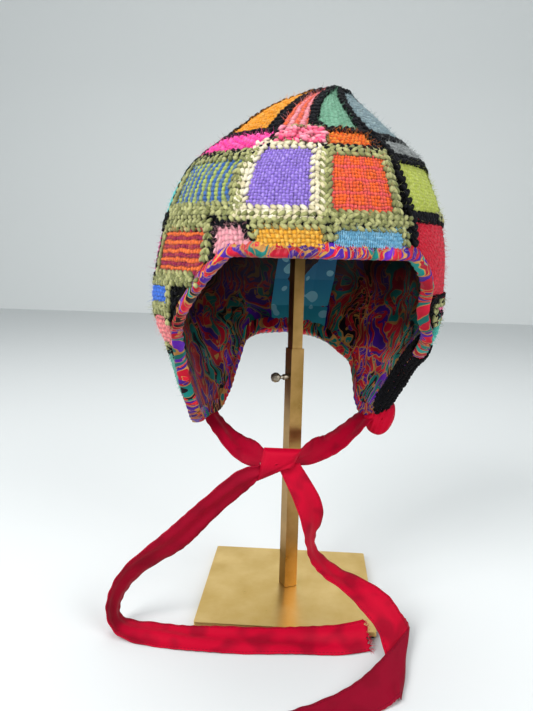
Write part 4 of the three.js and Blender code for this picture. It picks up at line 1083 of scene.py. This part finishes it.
def two_sided_faces():
    """Faces of the front, of the back and of the sides between them."""
    front = grid_faces(ALONG, ACROSS)
    flat = np.arange(ALONG * ACROSS).reshape(ALONG, ACROSS)
    loop = np.concatenate([flat[0, :-1], flat[:-1, -1], flat[-1, :0:-1], flat[:0:-1, 0]])
    after = np.roll(loop, -1)
    sides = np.stack([loop, after, after + flat.size, loop + flat.size], axis=-1)
    return np.concatenate([front[:, ::-1], front + flat.size, sides])


# %% One ribbon
def ribbon(name, edge_a, edge_b, outer, crease=0.5, ragged=0.0):
    """A strip between two edge curves; `outer` is the front's share of painted light at each end."""
    line_a, line_b = catmull(edge_a, ALONG), catmull(edge_b, ALONG)
    step = np.gradient((line_a + line_b) / 2, axis=0)
    normal = unit(np.cross(line_b - line_a, unit(step)))[:, None]
    length = np.cumsum(np.linalg.norm(step, axis=1))
    share = np.linspace(0, 1, ACROSS)
    sheet = line_a[:, None] * (1 - share[:, None]) + line_b[:, None] * share[:, None]
    sheet = sheet + normal * creases(share, length[:, None], crease)[..., None]
    sheet[-1] += unit(step[-1]) * rng.uniform(-ragged, ragged, (ACROSS, 1))
    both = np.stack([sheet + normal * HALF_THICK, sheet - normal * HALF_THICK]).reshape(-1, 3)
    both[:, 2] = np.maximum(both[:, 2], FLOOR_GAP)
    uv = np.stack(np.broadcast_arrays(share * RIBBON, length[:, None]), axis=-1).reshape(-1, 2)
    # Painted light: the front's share of lit red changes from its first value to its last along the
    # strip, and the back takes the rest
    turned = np.clip((length / length[-1] - LIGHT_CHANGES_AT) / LIGHT_CHANGES_OVER, 0, 1)
    front_painted_light = np.repeat(outer[0] + (outer[1] - outer[0]) * turned, ACROSS)
    piece = mesh_piece(name + "_ribbon", both, two_sided_faces(), red, uv=np.vstack([uv, uv]),
                       values={"outer": np.concatenate([front_painted_light, 1 - front_painted_light])},
                       replaces=[name], slot="red_ribbon")


# %% Edges of the tails
# Edge a and edge b: across and towards the back in plate sides, height in shares of the knot's
TAIL_LEFT = [
    (-0.28, -0.375, 0.96, -0.25, -0.31, 0.8), (-0.46, -0.415, 0.8, -0.41, -0.35, 0.645),
    (-0.65, -0.44, 0.6, -0.58, -0.365, 0.445), (-0.81, -0.48, 0.455, -0.745, -0.375, 0.33),
    (-0.895, -0.525, 0.36, -0.835, -0.4, 0.257), (-0.945, -0.57, 0.25, -0.895, -0.425, 0.168),
    (-0.955, -0.61, 0.135, -0.92, -0.45, 0.085), (-0.905, -0.65, 0.045, -0.9, -0.475, 0.04),
    (-0.81, -0.68, 0.01, -0.81, -0.508, 0.032), (-0.69, -0.705, 0.008, -0.695, -0.532, 0.044),
    (-0.48, -0.727, 0.008, -0.495, -0.563, 0.058), (-0.22, -0.727, 0.008, -0.24, -0.565, 0.069),
    (0.09, -0.7, 0.008, 0.08, -0.536, 0.071), (0.3, -0.684, 0.008, 0.29, -0.54, 0.106),
    (0.46, -0.632, 0.008, 0.43, -0.509, 0.13),
]
TAIL_RIGHT = [
    (0.022, -0.336, 0.78, 0.176, -0.28, 0.77), (0.076, -0.352, 0.62, 0.19, -0.235, 0.62),
    (0.104, -0.368, 0.505, 0.156, -0.2, 0.505), (0.136, -0.384, 0.407, 0.17, -0.21, 0.407),
    (0.208, -0.416, 0.327, 0.3, -0.27, 0.32), (0.328, -0.48, 0.265, 0.44, -0.36, 0.292),
    (0.42, -0.52, 0.18, 0.56, -0.424, 0.24), (0.496, -0.576, 0.097, 0.632, -0.46, 0.15),
    (0.528, -0.76, 0.035, 0.664, -0.45, 0.1), (0.564, -1, 0.008, 0.678, -0.46, 0.06),
    (0.562, -1.025, 0.022, 0.668, -0.49, 0.075), (0.545, -1.05, 0.03, 0.53, -0.74, 0.075),
    (0.48, -1.1, 0.012, 0.376, -0.936, 0.045), (0.3, -1.24, 0.008, 0.19, -1.08, 0.018),
    (0.11, -1.33, 0.008, 0.03, -1.17, 0.01),
]


def tail_edges(rows):
    scale = np.array([BASE_SIDE, BASE_SIDE, KNOT[2]])
    table = np.array(rows)
    return table[:, :3] * scale, table[:, 3:] * scale


# %% Tails
a_left, b_left = tail_edges(TAIL_LEFT)
start_a, start_b = KNOT + [-9.5, -2.4, -1.5], KNOT + [-13.5, -2.4, -13.0]
# Painted light: the left tail's two faces swap lit and shaded red along its length
ribbon("tail_left", np.vstack([start_a, a_left]), np.vstack([start_b, b_left]),
       (0.75, 0.05), 0.95, ragged=1.6)
a_right, b_right = tail_edges(TAIL_RIGHT)
start_a, start_b = KNOT + [0.5, -0.5, -3.0], KNOT + [15.5, -0.5, 0.5]
# Painted light: the right tail's back is painted lit red and its front shaded
ribbon("tail_right", np.vstack([start_a, a_right]), np.vstack([start_b, b_right]),
       (0.0, 0.0))
# The cut end of the left tail has frayed into loose threads
FRAYS, FRAY_WIDTH = 90, 0.35
frayed = a_left[-1] + rng.uniform(0, 1, (FRAYS, 1)) * (b_left[-1] - a_left[-1])
onwards = unit(a_left[-1] - a_left[-2]) + np.zeros((FRAYS, 3))
strands("frayed_end", frayed, onwards, rng.uniform(1.5, 4.5, FRAYS), FRAY_WIDTH,
        yarn_material("frayed_ribbon", "b80a30", "e03a58"), "red_ribbon")

# %% Ties, from each flap's tip to the knot
# Share of the way, sag in ribbon widths, turn towards the knot's own slant, and width left
TIE = [(0, 0.0, 0, 1), (0.15, 0.1, 0.06, 1), (0.3, 0.2, 0.14, 1), (0.55, 0.27, 0.3, 1),
       (0.8, 0.13, 0.6, 0.85), (1, 0.0, 1, 0.6)]
for name, tip_turn, knot_low, knot_high in (
    ("tie_left", -114, [-13.0, 3.0, -6.0], [-8.5, 3.0, 8.0]),
    ("tie_right", 116, [12.0, 3.0, -2.0], [15.5, 3.0, 9.0]),
):
    half = np.sign(tip_turn) * np.degrees(RIBBON / 2 / (0.72 * HALF_WIDTH))
    tips = [under_skin(t, hem_height(t), 2.0) for t in (tip_turn - half, tip_turn + half)]
    floor = min(tips[0][2], tips[1][2], float(hem_height(tip_turn))) + 3.0
    outer_tip, inner_tip = (np.array([p[0], p[1], floor]) for p in tips)
    tip, reach = (outer_tip + inner_tip) / 2, unit(inner_tip - outer_tip)
    low, high = KNOT + knot_low, KNOT + knot_high
    end, lift = (low + high) / 2, unit(high - low)
    edge_a, edge_b = [], []
    for along_share, sag, turned, wide in TIE:
        middle = tip + along_share * (end - tip) - [0, 0, sag * RIBBON]
        across = unit(reach + turned * (lift - reach)) * wide * RIBBON / 2
        edge_a.append(middle - across)
        edge_b.append(middle + across)
    # Painted light: both faces of a tie are painted between lit and shaded red
    ribbon(name, edge_a, edge_b, (0.6, 0.6), 0.8)


# %% [markdown]
# ## Knot and folded end
# The ribbon is wrapped tightly into a flat knot, and a folded end of it stands off the right tie.
# Tying it as a real knot would take a long simulation for a shape that can hardly be seen into.
# So each is a closed bag of the same cloth: an outline that swells to both sides, with creases
# across its face.

# %% A bag of ribbon
# Points round a bag's outline, and half its thickness at the rim
AROUND, RIM_THICK = 120, 0.6


def puffed(name, outline, centre, thick, wrinkles, rounded=False, **links):
    """A flat bag of ribbon that faces -Y, with its outline in millimetres round the centre."""
    loop = np.vstack([outline, outline[:1]])
    around = np.concatenate([[0], np.cumsum(np.linalg.norm(np.diff(loop, axis=0), axis=1))])
    where = np.linspace(0, around[-1], AROUND + 1)[:-1]
    rim = np.stack([np.interp(where, around, loop[:, k]) for k in (0, 1)], axis=-1)
    if rounded:
        rim = catmull(loop, AROUND + 1)[:-1]
    middle = rim.mean(axis=0)
    rings = [(share, -1) for share in 1 - np.linspace(0.98, 0, 18) ** 1.4]
    rings += [(1.03, -0.55), (1.04, 0.0), (1.03, 0.55)]
    rings += [(share, 1) for share in np.linspace(1, 0.02, 8)]
    points = []
    for share, side in rings:
        flat = middle + (rim - middle) * share
        bulge = (thick - RIM_THICK) * (1 - np.clip(share, 0, 1) ** 7) ** 0.5 + RIM_THICK
        depth = side * bulge + wrinkles(flat[:, 0], flat[:, 1]) * (abs(side) == 1)
        points.append(np.stack([flat[:, 0], depth + 0 * flat[:, 0], flat[:, 1]], axis=-1))
    points = np.array(points) + centre
    count = points.shape[0] * points.shape[1]
    caps = [list(range(AROUND)), list(range(count - 1, count - AROUND - 1, -1))]
    faces = grid_faces(*points.shape[:2], closed=True).tolist() + caps
    uv = np.stack([RIBBON / 2 + 0 * points[..., 0], points[..., 2]], axis=-1).reshape(-1, 2)
    # Painted light: an outer value of 1 paints the bag lit bright red on both faces
    mesh_piece(name, points.reshape(-1, 3), faces, red, uv=uv, values={"outer": np.ones(count)},
               slot="red_ribbon", **links)


# %% The knot and the fold
def wrap_creases(x, z):
    across = x * 0.5 - z * 0.87
    return 0.45 * np.sin(across * 0.32) + 0.7 * np.exp(-((across - 4) / 1.1) ** 2)


def ridges(x, z):
    return 0.55 * np.sin(x * 1.5 - z * 0.5) + 0.3 * np.sin(z * 0.6)


outline = np.array([(-0.41, 0.45), (0.74, 0.45), (0.51, -0.14), (0.11, -0.27), (-0.64, -0.64)])
outline = outline * RIBBON
puffed("knot_ribbon", outline, KNOT, 5.8, wrap_creases, replaces=["knot"])
fold_place = under_skin(108.0, hem_height(108.0), -1.0) + [0.5, -2.0, -1.0]
outline = np.array([(-12, 2), (-3, 7), (5, 14), (10, 12), (10.5, 2), (6, -8), (-1, -12), (-9, -8)])
puffed("tie_right_fold", outline, fold_place, 3.6, ridges, True)
print("knot at", KNOT, "and fold at", fold_place.round())

# %% [markdown]
# ## Stand
# The stand is made of square brass tube with a turned brass head, on a polished brass plate. The
# tubes are brushed and have dulled in use, so they are browner and mirror softly. The plate is
# clean, and shows the pale room. The thumb screw is turned steel, and the pad under the plate is
# felt, which takes the light in. The solids are exact, so they stay, and get worn edges by a small
# bevel. Smears in the metal are noise with cells of 22 mm, about the size of a fingertip's mark.

# %% Metal
# Cells of noise to a metre
SMEARS = 45.0
EDGE = 0.0004


def metal(name, colour, rough):
    """Worn metal: two tones of one colour, and duller where it is smeared."""
    material, tree, shader = new_material(name, rough, 1.0)
    place = add(tree, "TexCoord")["Object"]
    smear = add(tree, "TexNoise", None, Vector=place, Scale=SMEARS, Detail=5.0, Roughness=0.6)[0]
    tone = add(tree, "ValToRGB", {"stops": ("LINEAR", [(0.3, colour[0]), (0.7, colour[1])])}, smear)[0]
    tree.links.new(tone, shader.inputs["Base Color"])
    dulled = add(tree, "Math", TIMES_PLUS, smear, 0.3, rough - 0.12)[0]
    tree.links.new(dulled, shader.inputs["Roughness"])
    return material


# %% Brass, steel and felt on the solids
brass = metal("brushed_brass", ("8f6f3a", "b8925a"), 0.3)
plate_brass = metal("polished_brass", ("f0c46c", "fbd88e"), 0.3)
steel = metal("turned_steel", ("6f675c", "a39a8a"), 0.32)
felt = new_material("pressed_felt", 0.95)[0]
felt.node_tree.nodes["Principled BSDF"].inputs["Base Color"].default_value = linear("1b1a19")
for name, material in {
    "base_plate": plate_brass, "lower_tube": brass, "upper_tube": brass, "head_disc": brass,
    "thumb_screw": steel, "base_pad": felt,
}.items():
    nodes[name].data.materials.clear()
    nodes[name].data.materials.append(material)
    bevel = nodes[name].modifiers.new("edge", "BEVEL")
    bevel.width, bevel.segments, bevel.limit_method = EDGE, 2, "ANGLE"
    if name in ("thumb_screw", "head_disc"):
        nodes[name].data.polygons.foreach_set("use_smooth", [True] * len(nodes[name].data.polygons))
print("bevel in metres:", EDGE)

# %% [markdown]
# ## Floor, light and camera
# The stand is on a pale painted floor before a pale wall, in even daylight. One hard lamp would
# hide the stitches in deep shadow. So three large soft lamps stand left, right and behind, and
# the world fills the rest. Both surfaces are matt paint, which throws soft light back and mirrors
# hardly anything. The camera was solved from the square plate, the pole and the hat.

# %% Floor and wall
material, tree, shader = new_material("painted_floor", 0.6)
shader.inputs["Base Color"].default_value = linear("dfe2e2")
bpy.ops.mesh.primitive_plane_add(size=6)
floor = bpy.context.object
floor.data.materials.append(material)
bpy.ops.mesh.primitive_plane_add(size=8, location=(0, 2.2, 1.5), rotation=(np.pi / 2, 0, 0))
wall = bpy.context.object
wall_material, tree, shader = new_material("painted_wall", 0.9)
shader.inputs["Base Color"].default_value = linear("eef1f0")
wall.data.materials.append(wall_material)
print("stage:", floor.name, wall.name)

# %% Light
world = bpy.data.worlds.new("soft sky")
bpy.context.scene.world = world
world.use_nodes = True
world.node_tree.nodes["Background"].inputs[0].default_value = linear("dfe6ea")
world.node_tree.nodes["Background"].inputs[1].default_value = 0.42
# Place and size in metres, power in watts; all of them look at the middle of the stand
AIM = Vector((0, 0, 0.2))
for place, size, power in (
    ((-0.9, -1.0, 1.1), 0.9, 26), ((1.0, -0.9, 0.9), 1.0, 12), ((0.0, 0.6, 1.6), 1.2, 12),
):
    data = bpy.data.lights.new("soft box", "AREA")
    data.size, data.energy = size, power
    lamp = bpy.data.objects.new("soft box", data)
    lamp.location = place
    lamp.rotation_euler = (AIM - Vector(place)).to_track_quat("-Z", "Y").to_euler()
    bpy.context.collection.objects.link(lamp)
    print("lamp at", place, "with", power, "W")

# %% Camera
camera_data = bpy.data.cameras.new("camera")
camera_data.lens = 35.26
camera = bpy.data.objects.new("camera", camera_data)
right, up, ahead = (0.9975, 0.0655, 0.0248), (-0.0344, 0.1483, 0.9883), (-0.061, 0.9868, -0.1502)
axes = Matrix((right, up, tuple(-v for v in ahead))).transposed()
camera.matrix_world = Matrix.Translation((0.0105, -0.5039, 0.2585)) @ axes.to_4x4()
bpy.context.collection.objects.link(camera)
bpy.context.scene.camera = camera
bpy.context.scene.view_settings.view_transform = "Standard"
print("camera:", round(camera_data.lens, 1), "mm lens")
